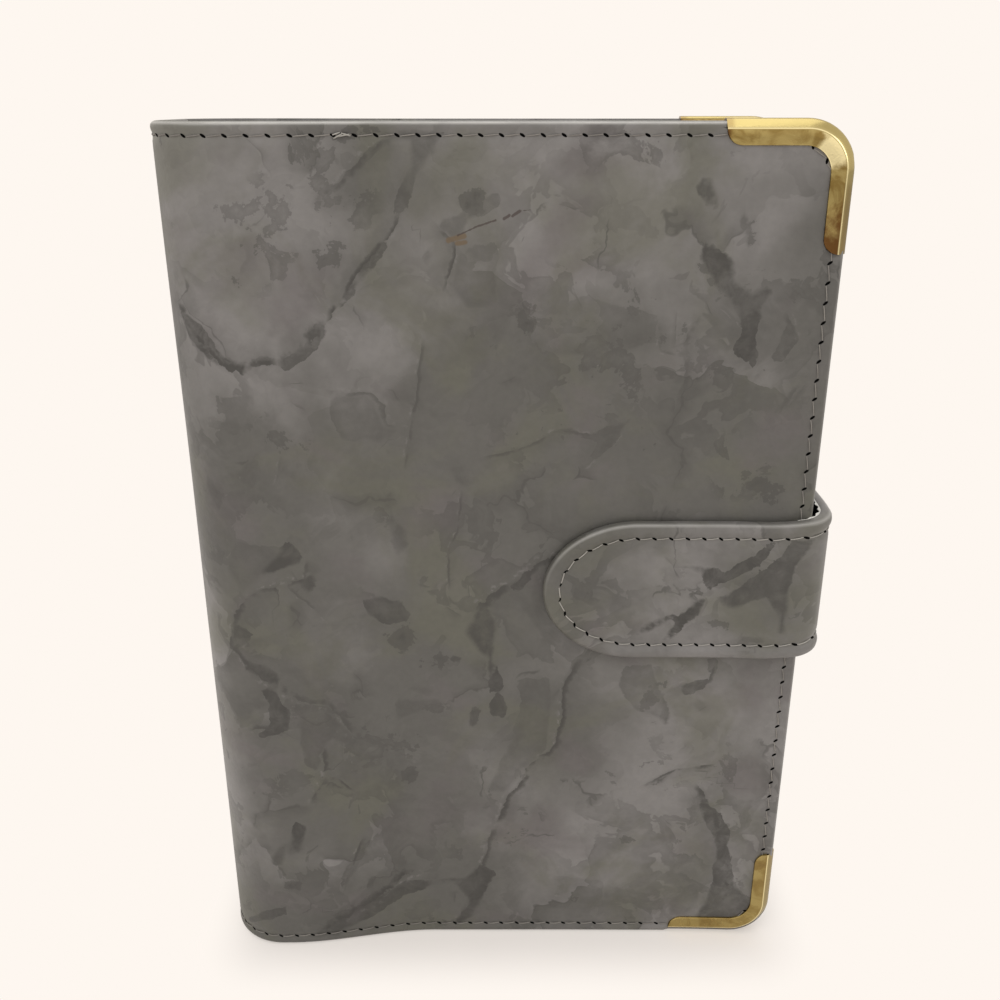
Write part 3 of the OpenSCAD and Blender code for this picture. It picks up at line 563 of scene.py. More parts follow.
def newGroup(name, inputs, outputs):
    group = bpy.data.node_groups.new(name, "ShaderNodeTree")
    for label, kind, value in inputs:
        socket = group.interface.new_socket(name=label, in_out="INPUT", socket_type="NodeSocket" + kind)
        if value is not None:
            socket.default_value = value
    for label, kind in outputs:
        group.interface.new_socket(name=label, in_out="OUTPUT", socket_type="NodeSocket" + kind)
    return group, group.nodes.new("NodeGroupInput"), group.nodes.new("NodeGroupOutput")


def useGroup(tree, group, inputs):
    node = tree.nodes.new("ShaderNodeGroup")
    node.node_tree = group
    return setInputs(tree, node, inputs)


def srgb(r, g, b):
    return tuple(((c / 255 + 0.055) / 1.055) ** 2.4 if c > 10 else c / 3294.6 for c in (r, g, b)) + (1.0,)


def buildMarbleGroup():
    group, start, end = newGroup("marblePrint", [
        ("Vector", "Vector", None), ("Vein Side", "Float", 9.0), ("Vein Power", "Float", 0.0),
        ("Facet", "Float", -9.0), ("Facet Power", "Float", 0.0), ("Patch", "Float", 0.0), ("Tone", "Float", 0.0),
        ("Light", "Color", (0.2, 0.19, 0.18, 1)),
        ("Shade", "Color", (0.13, 0.125, 0.115, 1)), ("Olive", "Color", (0.12, 0.12, 0.09, 1)),
        ("Mauve", "Color", (0.13, 0.115, 0.112, 1)), ("Dark", "Color", (0.07, 0.064, 0.058, 1)),
    ], [("Color", "Color"), ("Veins", "Float")])
    v, power = start.outputs["Vector"], start.outputs["Vein Power"]

    def times(*factors):
        total = factors[0]
        for factor in factors[1:]:
            total = maths(group, "MULTIPLY", total, factor)
        return total

    def shore(noise, level, reach, inland):
        # Crisp where the noise crosses a level, then fading inland
        return times(ramp(group, noise, level, level + reach), ramp(group, noise, level, inland, 1, 0))

    fine = cloud(group, v, 6, 6, 0.62, 0.2, 11)
    rough = cloud(group, v, 1.7, 3, 0.6, 0.0, 23)
    # Plates like torn plaster, each with its own tone
    torn = warped(group, warped(group, v, 17, 22), 3.2, 4.5, 5)
    plates = {"Vector": torn, "Scale": 1 / 24}
    plate = addNode(group, "TexVoronoi", plates, voronoi_dimensions="2D").outputs["Color"]
    border = addNode(group, "TexVoronoi", plates, voronoi_dimensions="2D",
                     feature="DISTANCE_TO_EDGE").outputs["Distance"]
    own = maths(group, "MULTIPLY_ADD", plate, 0.42, -0.21)
    seen = ramp(group, cloud(group, v, 38, 2, 0.5, 0, 7), 0.40, 0.60, 0.25, 1)
    toned = maths(group, "MULTIPLY_ADD", start.outputs["Tone"], 0.30, cloud(group, v, 34, 4, 0.55, 0.3))
    toned = maths(group, "MULTIPLY_ADD", own, seen, toned)
    base = blendColour(group, ramp(group, toned, 0.34, 0.70), start.outputs["Shade"], start.outputs["Light"])
    olive = times(ramp(group, cloud(group, v, 26, 4, 0.6, 0.6, 40), 0.46, 0.66), 0.6)
    base = blendColour(group, olive, base, start.outputs["Olive"])
    mauve = times(ramp(group, cloud(group, v, 21, 3, 0.55, 0.5, 90), 0.52, 0.70), 0.55)
    base = blendColour(group, mauve, base, start.outputs["Mauve"])
    # Cracks along part of the plates' borders, and islands with one crisp shore
    cracked = ramp(group, cloud(group, v, 16, 2, 0.5, 0, 43), 0.53, 0.60)
    crack = times(maths(group, "MAXIMUM", ramp(group, border, 0.004, 0.024, 0.55, 0),
                        times(ramp(group, border, 0.0, 0.16, 0.34, 0), ramp(group, plate, 0.42, 0.5, 1, 0))), cracked)
    islands = times(shore(cloud(group, torn, 22, 4, 0.58, 0.3, 61), 0.50, 0.012, 0.68), seen, 0.38)
    islets = times(shore(cloud(group, v, 10, 6, 0.64, 0.3, 17), 0.56, 0.014, 0.76),
                   ramp(group, cloud(group, v, 26, 2, 0.5, 0, 31), 0.50, 0.62), 0.45)
    # Placed veins: a ragged core with one crisp side, a soft halo and pale flecks
    ragged = maths(group, "MULTIPLY_ADD", maths(group, "SUBTRACT", fine, 0.5), 1.7, start.outputs["Vein Side"])
    ragged = maths(group, "MULTIPLY_ADD", maths(group, "SUBTRACT", rough, 0.5), 0.5, ragged)
    broken = ramp(group, cloud(group, v, 7, 3, 0.6, 0, 71), 0.38, 0.52, 0.35, 1)
    core = times(ramp(group, ragged, -0.06, 0.04), ramp(group, ragged, 0.15, 0.95, 1, 0), broken, 0.95)
    halo = times(ramp(group, ragged, -0.5, 0.2), ramp(group, ragged, 0.4, 2.8, 1, 0), 0.30)
    vein = times(maths(group, "MAXIMUM", core, halo), power)
    flecks = times(ramp(group, ragged, -0.6, -0.2), ramp(group, ragged, -0.2, -0.08, 1, 0), power,
                   ramp(group, rough, 0.5, 0.62), 0.55)
    # Placed facets: a ragged edge, crisp here and soft there, and an uneven inside
    edge = maths(group, "MULTIPLY_ADD", maths(group, "SUBTRACT", fine, 0.5), 2.6, start.outputs["Facet"])
    edge = maths(group, "MULTIPLY_ADD", maths(group, "SUBTRACT", rough, 0.5), 1.3, edge)
    soft = ramp(group, cloud(group, v, 13, 2, 0.5, 0, 83), 0.42, 0.60, 0.0, 1.5)
    uneven = ramp(group, cloud(group, v, 5, 5, 0.68, 0.5, 29), 0.34, 0.62, 0.62, 1.0)
    facet = times(ramp(group, edge, -0.15, soft), uneven, ramp(group, edge, 0.6, 4.0, 1.0, 0.74),
                  start.outputs["Facet Power"])
    # Placed blots: noise that the patches lift over its threshold, in two depths
    cloudy = maths(group, "MULTIPLY_ADD", start.outputs["Patch"], 0.52, fine)
    cloudy = maths(group, "MULTIPLY_ADD", maths(group, "SUBTRACT", rough, 0.5), 0.12, cloudy)
    blot = maths(group, "ADD", ramp(group, cloudy, 0.742, 0.762, 0, 0.56), ramp(group, cloudy, 0.80, 0.98, 0, 0.30))
    blotShade = ramp(group, cloudy, 0.58, 0.76, 0, 0.16)
    dark = maths(group, "MAXIMUM", maths(group, "MAXIMUM", vein, blot), maths(group, "MAXIMUM", blotShade, crack))
    dark = maths(group, "MAXIMUM", dark, maths(group, "MAXIMUM", islands, islets))
    dark = maths(group, "MAXIMUM", dark, facet)
    base = blendColour(group, flecks, base, start.outputs["Light"])
    colour = blendColour(group, dark, base, start.outputs["Dark"])
    mottled = times(ramp(group, rough, 0.3, 0.7, 0.965, 1.035), ramp(group, fine, 0.3, 0.7, 0.965, 1.035))
    colour = blendColour(group, 1.0, colour, mottled, "MULTIPLY")
    group.links.new(colour, end.inputs["Color"])
    group.links.new(dark, end.inputs["Veins"])
    return group


def buildGrainGroup():
    group, start, end = newGroup("fineGrain", [("Vector", "Vector", None), ("Size", "Float", 0.8)],
                                 [("Height", "Float"), ("Smudge", "Float")])
    scaled = addNode(group, "VectorMath", {0: start.outputs["Vector"]}, operation="SCALE")
    group.links.new(maths(group, "DIVIDE", 1.0, start.outputs["Size"]), scaled.inputs["Scale"])
    cells = addNode(group, "TexVoronoi", {"Vector": scaled.outputs[0], "Scale": 1.0}, feature="F1")
    pores = ramp(group, cells.outputs["Distance"], 0.0, 0.75)
    ripple = cloud(group, scaled.outputs[0], 2.3, 4, 0.6)
    group.links.new(maths(group, "MULTIPLY_ADD", ripple, 0.8, pores), end.inputs["Height"])
    group.links.new(cloud(group, start.outputs["Vector"], 22, 4, 0.6, 0.5, 5), end.inputs["Smudge"])
    return group


marbleGroup = buildMarbleGroup()
grainGroup = buildGrainGroup()


def unrolledVector(tree):
    uv = addNode(tree, "UVMap", uv_map="unrolled")
    return addNode(tree, "VectorMath", {0: uv.outputs[0], "Scale": 100.0}, operation="SCALE").outputs[0]


def objectVector(tree):
    place = addNode(tree, "TexCoord")
    return addNode(tree, "VectorMath", {0: place.outputs["Object"], "Scale": metre}, operation="SCALE").outputs[0]


def addBump(tree, shader, height, distance, strength=1.0):
    node = addNode(tree, "Bump", {"Height": height, "Distance": distance, "Strength": strength})
    tree.links.new(node.outputs[0], shader.inputs["Normal"])


def buildStrokeGroup():
    # A ragged scratch from one place to another
    group, start, end = newGroup("scratchStroke", [
        ("Vector", "Vector", None), ("Start", "Vector", None), ("End", "Vector", None), ("Width", "Float", 0.3),
    ], [("Mask", "Float")])
    along = addNode(group, "VectorMath", {0: start.outputs["End"], 1: start.outputs["Start"]},
                    operation="SUBTRACT").outputs[0]
    away = addNode(group, "VectorMath", {0: start.outputs["Vector"], 1: start.outputs["Start"]},
                   operation="SUBTRACT").outputs[0]
    met = addNode(group, "VectorMath", {0: away, 1: along}, operation="DOT_PRODUCT").outputs["Value"]
    full = addNode(group, "VectorMath", {0: along, 1: along}, operation="DOT_PRODUCT").outputs["Value"]
    share = maths(group, "DIVIDE", met, full, clamp=True)
    scaled = addNode(group, "VectorMath", {0: along, "Scale": share}, operation="SCALE")
    distance = addNode(group, "VectorMath", {0: away, 1: scaled.outputs[0]}, operation="DISTANCE").outputs["Value"]
    ragged = cloud(group, start.outputs["Vector"], 0.9, 4, 0.7)
    distance = maths(group, "MULTIPLY_ADD", maths(group, "SUBTRACT", ragged, 0.45), 0.5, distance)
    half = maths(group, "MULTIPLY", start.outputs["Width"], 0.5)
    group.links.new(ramp(group, distance, half, start.outputs["Width"], 1, 0), end.inputs["Mask"])
    return group


strokeGroup = buildStrokeGroup()
scuff = {                                       # start, end and width of each scratch, with u along the cover
    "brown": srgb(66, 54, 50), "rust": srgb(104, 86, 62),
    "brownStrokes": [((58.2, 169.5), (62, 171.2), 0.22), ((62, 171.2), (65.4, 172.3), 0.26),
                     ((67, 172.6), (68, 173.2), 0.4), ((68.6, 173.1), (70, 174), 0.4), ((70, 174), (72, 174.2), 0.12)],
    "rustStrokes": [((56.4, 168.6), (59.4, 169.4), 0.7), ((58, 168), (59.6, 168.2), 0.6)],
}


leather = {
    "light": srgb(128, 125, 122), "shade": srgb(95, 93, 88), "olive": srgb(99, 98, 84),
    "mauve": srgb(103, 97, 96), "dark": srgb(62, 60, 56),
    # edge is the pale colour of the rims' painted highlight
    "edge": srgb(206, 203, 196),
    "roughness": (0.42, 0.54), "coat": 0.22, "coatRoughness": 0.22, "grain": 0.9, "bump": 0.00002,
}


def marbledLeather():
    material, tree, shader = newMaterial("marbledLeather")
    v = unrolledVector(tree)
    inputs = {"Vector": v, "Light": leather["light"], "Shade": leather["shade"], "Olive": leather["olive"],
              "Mauve": leather["mauve"], "Dark": leather["dark"]}
    for label, name in (("Vein Side", "veinSide"), ("Vein Power", "veinPower"), ("Facet", "facet"),
                        ("Facet Power", "facetPower"), ("Patch", "patch"), ("Tone", "tone")):
        inputs[label] = addNode(tree, "Attribute", attribute_name=name).outputs["Fac"]
    marble = useGroup(tree, marbleGroup, inputs)
    grain = useGroup(tree, grainGroup, {"Vector": v, "Size": leather["grain"]})
    colour = marble.outputs["Color"]
    for name in ("rust", "brown"):
        worn = 0.0
        for first, last, width in scuff[name + "Strokes"]:
            places = {"Start": (float(pathAt(first[0])), first[1], 0), "End": (float(pathAt(last[0])), last[1], 0)}
            stroke = useGroup(tree, strokeGroup, {"Vector": v, "Width": width, **places})
            worn = maths(tree, "MAXIMUM", worn, stroke.outputs["Mask"])
        colour = blendColour(tree, maths(tree, "MULTIPLY", worn, 0.8), colour, scuff[name])
    # The turned edges are painted pale, partly as stretched coating and partly as a painted highlight, strongest on the
    # top edges
    wearAndHighlight = maths(tree, "MULTIPLY", addNode(tree, "Attribute", attribute_name="rimWearAndHighlight").outputs["Fac"],
                 ramp(tree, grain.outputs["Smudge"], 0.3, 0.6, 0.45, 0.75))
    colour = blendColour(tree, wearAndHighlight, colour, leather["edge"])
    tree.links.new(colour, shader.inputs["Base Color"])
    tree.links.new(ramp(tree, grain.outputs["Smudge"], 0.3, 0.7, *leather["roughness"]), shader.inputs["Roughness"])
    addBump(tree, shader, grain.outputs["Height"], leather["bump"])
    shader.inputs["Specular IOR Level"].default_value = 0.4
    shader.inputs["Coat Weight"].default_value = leather["coat"]
    shader.inputs["Coat Roughness"].default_value = leather["coatRoughness"]
    return material


def plainGrain(name, low, high, roughness, grainSize, bump, unrolled=False):
    # Coated fabric, board or paper: two near colours, a grain and a smudge
    material, tree, shader = newMaterial(name)
    v = unrolledVector(tree) if unrolled else objectVector(tree)
    grain = useGroup(tree, grainGroup, {"Vector": v, "Size": grainSize})
    colour = blendColour(tree, ramp(tree, grain.outputs["Smudge"], 0.35, 0.65), low, high)
    tree.links.new(colour, shader.inputs["Base Color"])
    tree.links.new(ramp(tree, grain.outputs["Smudge"], 0.3, 0.7, roughness - 0.06, roughness + 0.06),
                   shader.inputs["Roughness"])
    addBump(tree, shader, grain.outputs["Height"], bump)
    return material


gold = {
    "face": srgb(182, 162, 104), "faceDark": srgb(148, 124, 70), "brown": srgb(112, 80, 45),
    "polishAndGleam": srgb(253, 238, 184), "bevel": srgb(176, 160, 106), "bevelDull": srgb(156, 137, 90),
    "roughness": (0.14, 0.30),
}


def goldPlate():
    # Tarnish runs from -1, pale polished gold that is a painted reflection, to 1, brown. Lustre is 0 on a top corner's
    # face, 0.24 on a bottom one's,
    # 0.5 on the bevel and 1 on the crease between them, where it paints a near-white highlight.
    material, tree, shader = newMaterial("goldPlate")
    v = objectVector(tree)
    tarnishAndGleam = addNode(tree, "Attribute", attribute_name="tarnishAndGleam").outputs["Fac"]
    bevelAndGlint = addNode(tree, "Attribute", attribute_name="bevelAndGlint").outputs["Fac"]
    streaks = cloud(tree, v, 5, 5, 0.6, 0.8)
    spots = cloud(tree, v, 1.8, 4, 0.65, 0.4, 13)
    colour = blendColour(tree, ramp(tree, streaks, 0.40, 0.62), gold["face"], gold["faceDark"])
    uneven = maths(tree, "MULTIPLY_ADD", maths(tree, "SUBTRACT", streaks, 0.5), 1.1, tarnishAndGleam)
    uneven = maths(tree, "MULTIPLY_ADD", maths(tree, "SUBTRACT", spots, 0.5), 0.6, uneven)
    colour = blendColour(tree, ramp(tree, uneven, 0.25, 0.85), colour, gold["brown"])
    # Painted reflection: pale gold where the tarnish is lowest, at the top corners' bend
    colour = blendColour(tree, ramp(tree, uneven, -0.75, -0.25, 1, 0), colour, gold["polishAndGleam"])
    bevel = blendColour(tree, ramp(tree, tarnishAndGleam, 0.0, 0.35), gold["bevel"], gold["bevelDull"])
    colour = blendColour(tree, ramp(tree, bevelAndGlint, 0.1, 0.45), colour, bevel)
    # Painted highlight: near-white gold along the crease
    colour = blendColour(tree, ramp(tree, bevelAndGlint, 0.6, 0.95), colour, gold["polishAndGleam"])
    tree.links.new(colour, shader.inputs["Base Color"])
    tree.links.new(ramp(tree, cloud(tree, v, 6, 4, 0.6, 0, 3), 0.3, 0.7, *gold["roughness"]),
                   shader.inputs["Roughness"])
    shader.inputs["Metallic"].default_value = 1.0
    addBump(tree, shader, cloud(tree, v, 0.5, 3, 0.6), 0.00001)
    return material


def platedSteel(name, colour, roughness):
    material, tree, shader = newMaterial(name)
    v = objectVector(tree)
    smudge = ramp(tree, cloud(tree, v, 7, 5, 0.6, 0.4), 0.35, 0.65)
    dull = tuple(c * 0.82 for c in colour[:3]) + (1.0,)
    tree.links.new(blendColour(tree, smudge, colour, dull), shader.inputs["Base Color"])
    tree.links.new(ramp(tree, smudge, 0, 1, roughness, roughness + 0.14), shader.inputs["Roughness"])
    shader.inputs["Metallic"].default_value = 1.0
    return material


def clearFilm():
    material, tree, shader = newMaterial("clearFilm")
    v = objectVector(tree)
    haze = cloud(tree, v, 16, 4, 0.6, 0.5)
    tree.links.new(ramp(tree, haze, 0.3, 0.7, 0.08, 0.2), shader.inputs["Roughness"])
    addBump(tree, shader, cloud(tree, v, 18, 3, 0.5), 0.0006)
    shader.inputs["Base Color"].default_value = (0.93, 0.96, 0.97, 1)
    shader.inputs["Transmission Weight"].default_value = 1.0
    shader.inputs["IOR"].default_value = 1.3
    return material


def printedSheet():
    # Uncoated paper with a plain ruled grid
    material, tree, shader = newMaterial("ruledPaper")
    v = objectVector(tree)
    parts = addNode(tree, "SeparateXYZ", {0: v})
    rows = maths(tree, "FRACT", maths(tree, "DIVIDE", parts.outputs["Z"], 7.0))
    line = ramp(tree, maths(tree, "ABSOLUTE", maths(tree, "SUBTRACT", rows, 0.5)), 0.47, 0.49)
    fibres = cloud(tree, v, 0.6, 4, 0.7)
    paper = blendColour(tree, fibres, (0.80, 0.77, 0.70, 1), (0.86, 0.84, 0.78, 1))
    tree.links.new(blendColour(tree, maths(tree, "MULTIPLY", line, 0.6), paper, (0.35, 0.36, 0.38, 1)),
                   shader.inputs["Base Color"])
    addBump(tree, shader, fibres, 0.00003)
    shader.inputs["Roughness"].default_value = 0.85
    return material


def wovenTape():
    material, tree, shader = newMaterial("wovenTape")
    v = objectVector(tree)
    weave = addNode(tree, "TexWave", {"Vector": v, "Scale": 2.2, "Distortion": 0.4}, bands_direction="DIAGONAL")
    tree.links.new(blendColour(tree, weave.outputs[1], (0.012, 0.012, 0.014, 1), (0.035, 0.035, 0.04, 1)),
                   shader.inputs["Base Color"])
    addBump(tree, shader, weave.outputs[1], 0.0001)
    shader.inputs["Roughness"].default_value = 0.75
    return material


finishes = {
    "marbled_leather": marbledLeather(),
    "board": plainGrain("greyBoard", (0.30, 0.24, 0.17, 1), (0.36, 0.29, 0.21, 1), 0.85, 0.8, 0.00006),
    "lining": plainGrain("blackLining", (0.010, 0.010, 0.011, 1), (0.018, 0.018, 0.019, 1), 0.55, 0.7, 0.00006),
    "pocket": plainGrain("blackPocket", (0.012, 0.012, 0.013, 1), (0.022, 0.022, 0.023, 1), 0.48, 1.1, 0.0001),
    "gold_corner": goldPlate(),
    "ring_steel": platedSteel("ringSteel", (0.74, 0.74, 0.73, 1), 0.14),
    "magnet": platedSteel("magnetPlate", (0.55, 0.55, 0.56, 1), 0.3),
    "clear_film": clearFilm(),
    "zip_tape": wovenTape(),
    "zip_slider": platedSteel("sliderPlate", (0.72, 0.71, 0.70, 1), 0.2),
    "paper": printedSheet(),
}
coverThread = plainGrain("coverThread", srgb(126, 121, 115), srgb(146, 141, 134), 0.7, 0.3, 0.00003)
strapThread = plainGrain("strapThread", srgb(158, 154, 146), srgb(180, 176, 168), 0.7, 0.3, 0.00003)
crumpleMaterial = plainGrain("crumpledLining", (0.007, 0.007, 0.007, 1), (0.02, 0.02, 0.02, 1), 0.3, 0.5, 0.00005)
# Near-white raw edge, partly the lining's edge and partly a painted highlight from above
rawEdgeHighlightMaterial = plainGrain("rawEdgeHighlight", srgb(226, 223, 214), srgb(243, 240, 232), 0.7, 0.3, 0.00002)
holeShadeMaterial = plainGrain("needleHoleShade", (0.001, 0.001, 0.001, 1), (0.002, 0.002, 0.002, 1), 0.95, 0.4, 0.00002)
holeShadeMaterial.node_tree.nodes["Principled BSDF"].inputs["Specular IOR Level"].default_value = 0.04
foldLiningMaterial = plainGrain("foldLining", (0.010, 0.010, 0.011, 1), (0.018, 0.018, 0.019, 1), 0.55, 0.7,
                                0.00006, True)
for part in frame["record"]["subparts"]:
    material = finishes[part["material_slot"]]
    thing = nodes[part["node"]]
    thing.data.materials.clear()
    thing.data.materials.append(material)


def dress(thing, material):
    thing.data.materials.append(material)
    return thing


# Leather of the two halves, each from mid-spine round its fold to the fore-edge

hinge = {
    "front": ("front_cover", (cover["foldRadius"], -cover["halfSpine"]), (0, -spineFlat)),
    "back": ("back_cover", (cover["foldRadius"], cover["halfSpine"]), (0, spineFlat)),
}


def bendWithCover(thing, half):
    body, start, end = hinge[half]
    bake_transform(thing)


corner = {
    "arm": 24.5, "width": 4.8, "innerRadius": 5, "endRadius": 3.0, "metal": 0.5, "bevel": 1.75,
    "steps": 18, "armStep": 1.5,
}


def onFold(a):
    return ease((a - spineFlat + 1) / 2) * ease((foldEnd + 1 - a) / 2)


def coverLift(a, b, end):
    # The leather's relief, pressed back along the edge under the metal corners
    height = cover["height"]
    fromEdge = edgeDistance(a, b, end, height, cover["cornerRadius"])
    relief = leatherLift(a, b, fromEdge, seam)
    reach = corner["arm"] - corner["metal"]
    under = (end - a < reach) & (np.minimum(b, height - b) < reach)
    return np.where(under, np.minimum(relief, fromEdge - corner["bevel"] + 0.3), relief)


def makeCoverLeather(half, veins, facets, patches, tones):
    side = 1 if half == "front" else -1
    reach = cover[half]
    end, height, radius = foldEnd + reach - cover["foldRadius"], cover["height"], cover["cornerRadius"]

    def rowsAt(inset):
        return boxRows(end, height, radius, inset, cover["cornerSteps"], cover["rowStep"])

    def lift(a, b):
        return coverLift(a, b, end)

    columns = [0] + straightSteps(0, spineFlat, cover["rowStep"])
    columns += straightSteps(spineFlat, foldEnd, cover["foldStep"])
    columns += straightSteps(foldEnd, end - radius, cover["rowStep"])
    turns = [math.pi / 2 * i / cover["cornerSteps"] for i in range(1, cover["cornerSteps"] + 1)]
    columns += [end - radius + radius * math.sin(t) for t in turns]
    rim = {
        # wear scales the painted rim highlight on the covers
        "round": cover["edgeRound"], "inner": cover["innerRound"], "wall": cover["edgeWall"], "wearAndHighlight": 1.1,
        "deep": lambda a: cover["thickness"] - (cover["thickness"] - cover["foldSkin"] - 0.1) * onFold(a),
        "under": lambda a: cover["skin"] + (cover["foldSkin"] - cover["skin"]) * onFold(a),
    }
    thing, plan = rimmedSheet(half + "Leather", rowsAt, columns, foldEnd, coverPlacer(side, reach), rim, lift, side)
    printMarble(thing, plan, veins, facets, patches, tones)
    dress(thing, finishes["marbled_leather"])
    bendWithCover(thing, half)
    return thing


backVeins = wandering(11, 16, (-145, 5), (-10, 185), 11)
backPatches = scattered(12, 22, (-140, 5), (-5, 185), 6, (0.5, 0.95))
backTones = scattered(13, 10, (-140, 5), (-5, 185), 30, (-0.8, 0.8))
backFacets = cutFacets(14, 26, (-140, 5), (-5, 190), 7)
frontLeather = makeCoverLeather("front", routesOnPath(frontVeins), routesOnPath(frontFacets), onPath(frontPatches),
                                onPath(frontTones))
backLeather = makeCoverLeather("back", backVeins, backFacets, backPatches, backTones)
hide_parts("front_skin", "front_fold", "spine_skin")
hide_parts("back_skin", "back_fold", "spine_skin")

for half, side in (("front", 1), ("back", -1)):
    inner = straightSteps(spineFlat - 1.5, foldEnd + 2.5, cover["foldStep"])
    margin = cover["edgeWall"] + 0.3
    tall = [margin] + straightSteps(margin, cover["height"] - margin, 6)
    sheet = thinSheet(half + "FoldLining", inner, tall, coverPlacer(side, cover[half]), cover["foldSkin"] + 0.05,
                      cover["foldSkin"] + 0.4, side)
    dress(sheet, foldLiningMaterial)
    bendWithCover(sheet, half)
print("covers dressed")


# Seams: a slanted needle hole at each end of every stitch, drawn as a near-black oval of painted shade, and thread
# between

stitch = {"holeLong": 0.6, "holeWide": 0.26, "rise": 0.3, "sides": 6, "steps": 7}
frayed = {                                      # start and end of each strand: u, and height above the seam
    "radius": 0.13, "lift": 0.1,
    "strands": [((35.6, 0.1), (36.9, 0.5)), ((35.8, -0.5), (37.4, 0.3)), ((36.6, -0.2), (38.6, 0.2)),
                ((37.2, 0.4), (38.8, -0.1))],
}


class SeamPieces:
    def __init__(self):
        self.threadPoints, self.threadFaces, self.holePoints, self.holeFaces = [], [], [], []

    def hole(self, place, a, b, ta, tb, lean):
        # A small near-black oval that lies on the leather, painted shade for the inside of the hole, its long side
        # slanted to the seam
        da, db = ta * math.cos(lean) + tb * math.sin(lean), tb * math.cos(lean) - ta * math.sin(lean)
        turns = np.linspace(0, 2 * math.pi, 10, endpoint=False)
        along, across = stitch["holeLong"] * np.cos(turns), stitch["holeWide"] * np.sin(turns)
        first = len(self.holePoints)
        ring = place(a + da * along - db * across, b + db * along + da * across, -0.05 + 0 * turns)
        dip = place(np.array([a]), np.array([b]), np.array([-0.065]))
        self.holePoints += [*ring.tolist(), *dip.tolist()]
        self.holeFaces += [(first + i, first + (i + 1) % 10, first + 10) for i in range(10)]

    def thread(self, place, start, end, radius):
        t = np.linspace(0, 1, stitch["steps"])
        a, b = start[0] + (end[0] - start[0]) * t, start[1] + (end[1] - start[1]) * t
        depth = 0.12 - stitch["rise"] * np.sin(math.pi * t) ** 0.6
        middle = place(a, b, depth)
        along = np.gradient(middle, axis=0)
        along /= np.linalg.norm(along, axis=1)[:, None]
        up = place(a, b, depth - 1) - middle
        side = np.cross(along, up)
        side /= np.linalg.norm(side, axis=1)[:, None]
        up = np.cross(side, along)
        thick = radius * (0.75 + 0.25 * np.sin(math.pi * t))
        first, count = len(self.threadPoints), stitch["sides"]
        for i in range(stitch["steps"]):
            for j in range(count):
                turn = 2 * math.pi * j / count
                self.threadPoints.append(middle[i] + thick[i] * (math.cos(turn) * side[i] + math.sin(turn) * up[i]))
        for i in range(stitch["steps"] - 1):
            for j in range(count):
                k = first + i * count
                self.threadFaces.append((k + j, k + (j + 1) % count, k + count + (j + 1) % count, k + count + j))
        last = first + (stitch["steps"] - 1) * count
        self.threadFaces += [tuple(range(first, first + count)), tuple(range(last, last + count))]

    def sew(self, place, route, sewn, lift, seed):
        # Stitches along a route on the sheet, evenly spaced, each a little different
        route = np.array(route, float)
        steps = np.hypot(*np.diff(route, axis=0).T)
        walked = np.concatenate([[0], np.cumsum(steps)])
        count = round(walked[-1] / sewn["pitch"])
        draw = random.Random(seed)
        stops = [walked[-1] * i / count for i in range(count + 1)]
        spots = [(float(np.interp(s, walked, route[:, 0])), float(np.interp(s, walked, route[:, 1]))) for s in stops]

        def lifted(a, b, depth):
            return place(a, b, depth - lift(a, b))

        ends = []
        for i, (a, b) in enumerate(spots):
            before, after = spots[max(0, i - 1)], spots[min(count, i + 1)]
            ta, tb = after[0] - before[0], after[1] - before[1]
            size = math.hypot(ta, tb)
            ta, tb = ta / size, tb / size
            tilt = sewn["lean"] + sewn["leanDown"] * abs(tb) + draw.uniform(-0.1, 0.1)
            self.hole(lifted, a, b, ta, tb, tilt)
            reach = stitch["holeLong"] * 0.6
            da, db = ta * math.cos(tilt) + tb * math.sin(tilt), tb * math.cos(tilt) - ta * math.sin(tilt)
            ends.append(((a - reach * da, b - reach * db), (a + reach * da, b + reach * db)))
        for (_, start), (end, _) in zip(ends, ends[1:]):
            self.thread(lifted, start, end, sewn["thread"])

    def build(self, name, material):
        thread = meshObject(name + "Thread", self.threadPoints, self.threadFaces, sharp=80)
        holes = meshObject(name + "NeedleHoleShade", self.holePoints, self.holeFaces, sharp=80)
        dress(thread, material)
        dress(holes, holeShadeMaterial)
        return thread, holes


def arcPoints(ca, cb, r, start, end, count):
    turns = np.radians(np.linspace(start, end, count + 1))
    return [(ca + r * math.cos(t), cb + r * math.sin(t)) for t in turns]


for half, side in (("front", 1), ("back", -1)):
    end = foldEnd + cover[half] - cover["foldRadius"]
    height, inset, wide = cover["height"], seam["inset"], seam["cornerRadius"]
    far = end - inset - wide

    def liftHere(a, b, end=end):
        return coverLift(a, b, end)

    route = [(0, height - inset), (far, height - inset)]
    route += arcPoints(far, height - inset - wide, wide, 90, 0, 12)
    route += arcPoints(far, inset + wide, wide, 0, -90, 12) + [(0, inset)]
    pieces = SeamPieces()
    pieces.sew(coverPlacer(side, cover[half]), route, seam, liftHere, 3 + side)
    for thing in pieces.build(half + "Seam", coverThread):
        bendWithCover(thing, half)
    if half == "front":
        # A frayed knot of pale thread
        knot = SeamPieces()
        top = height - inset
        onLeather = coverPlacer(1, cover["front"])
        for strand in frayed["strands"]:
            spots = [(float(pathAt(u)), top + rise) for u, rise in strand]
            knot.thread(lambda a, b, depth: onLeather(a, b, depth - frayed["lift"]), *spots, frayed["radius"])
        tuft = meshObject("frayedKnot", knot.threadPoints, knot.threadFaces, sharp=80)
        bendWithCover(dress(tuft, strapThread), half)
print("covers sewn")


# Gold corners: a bevelled channel of sheet metal bent round each corner of the covers

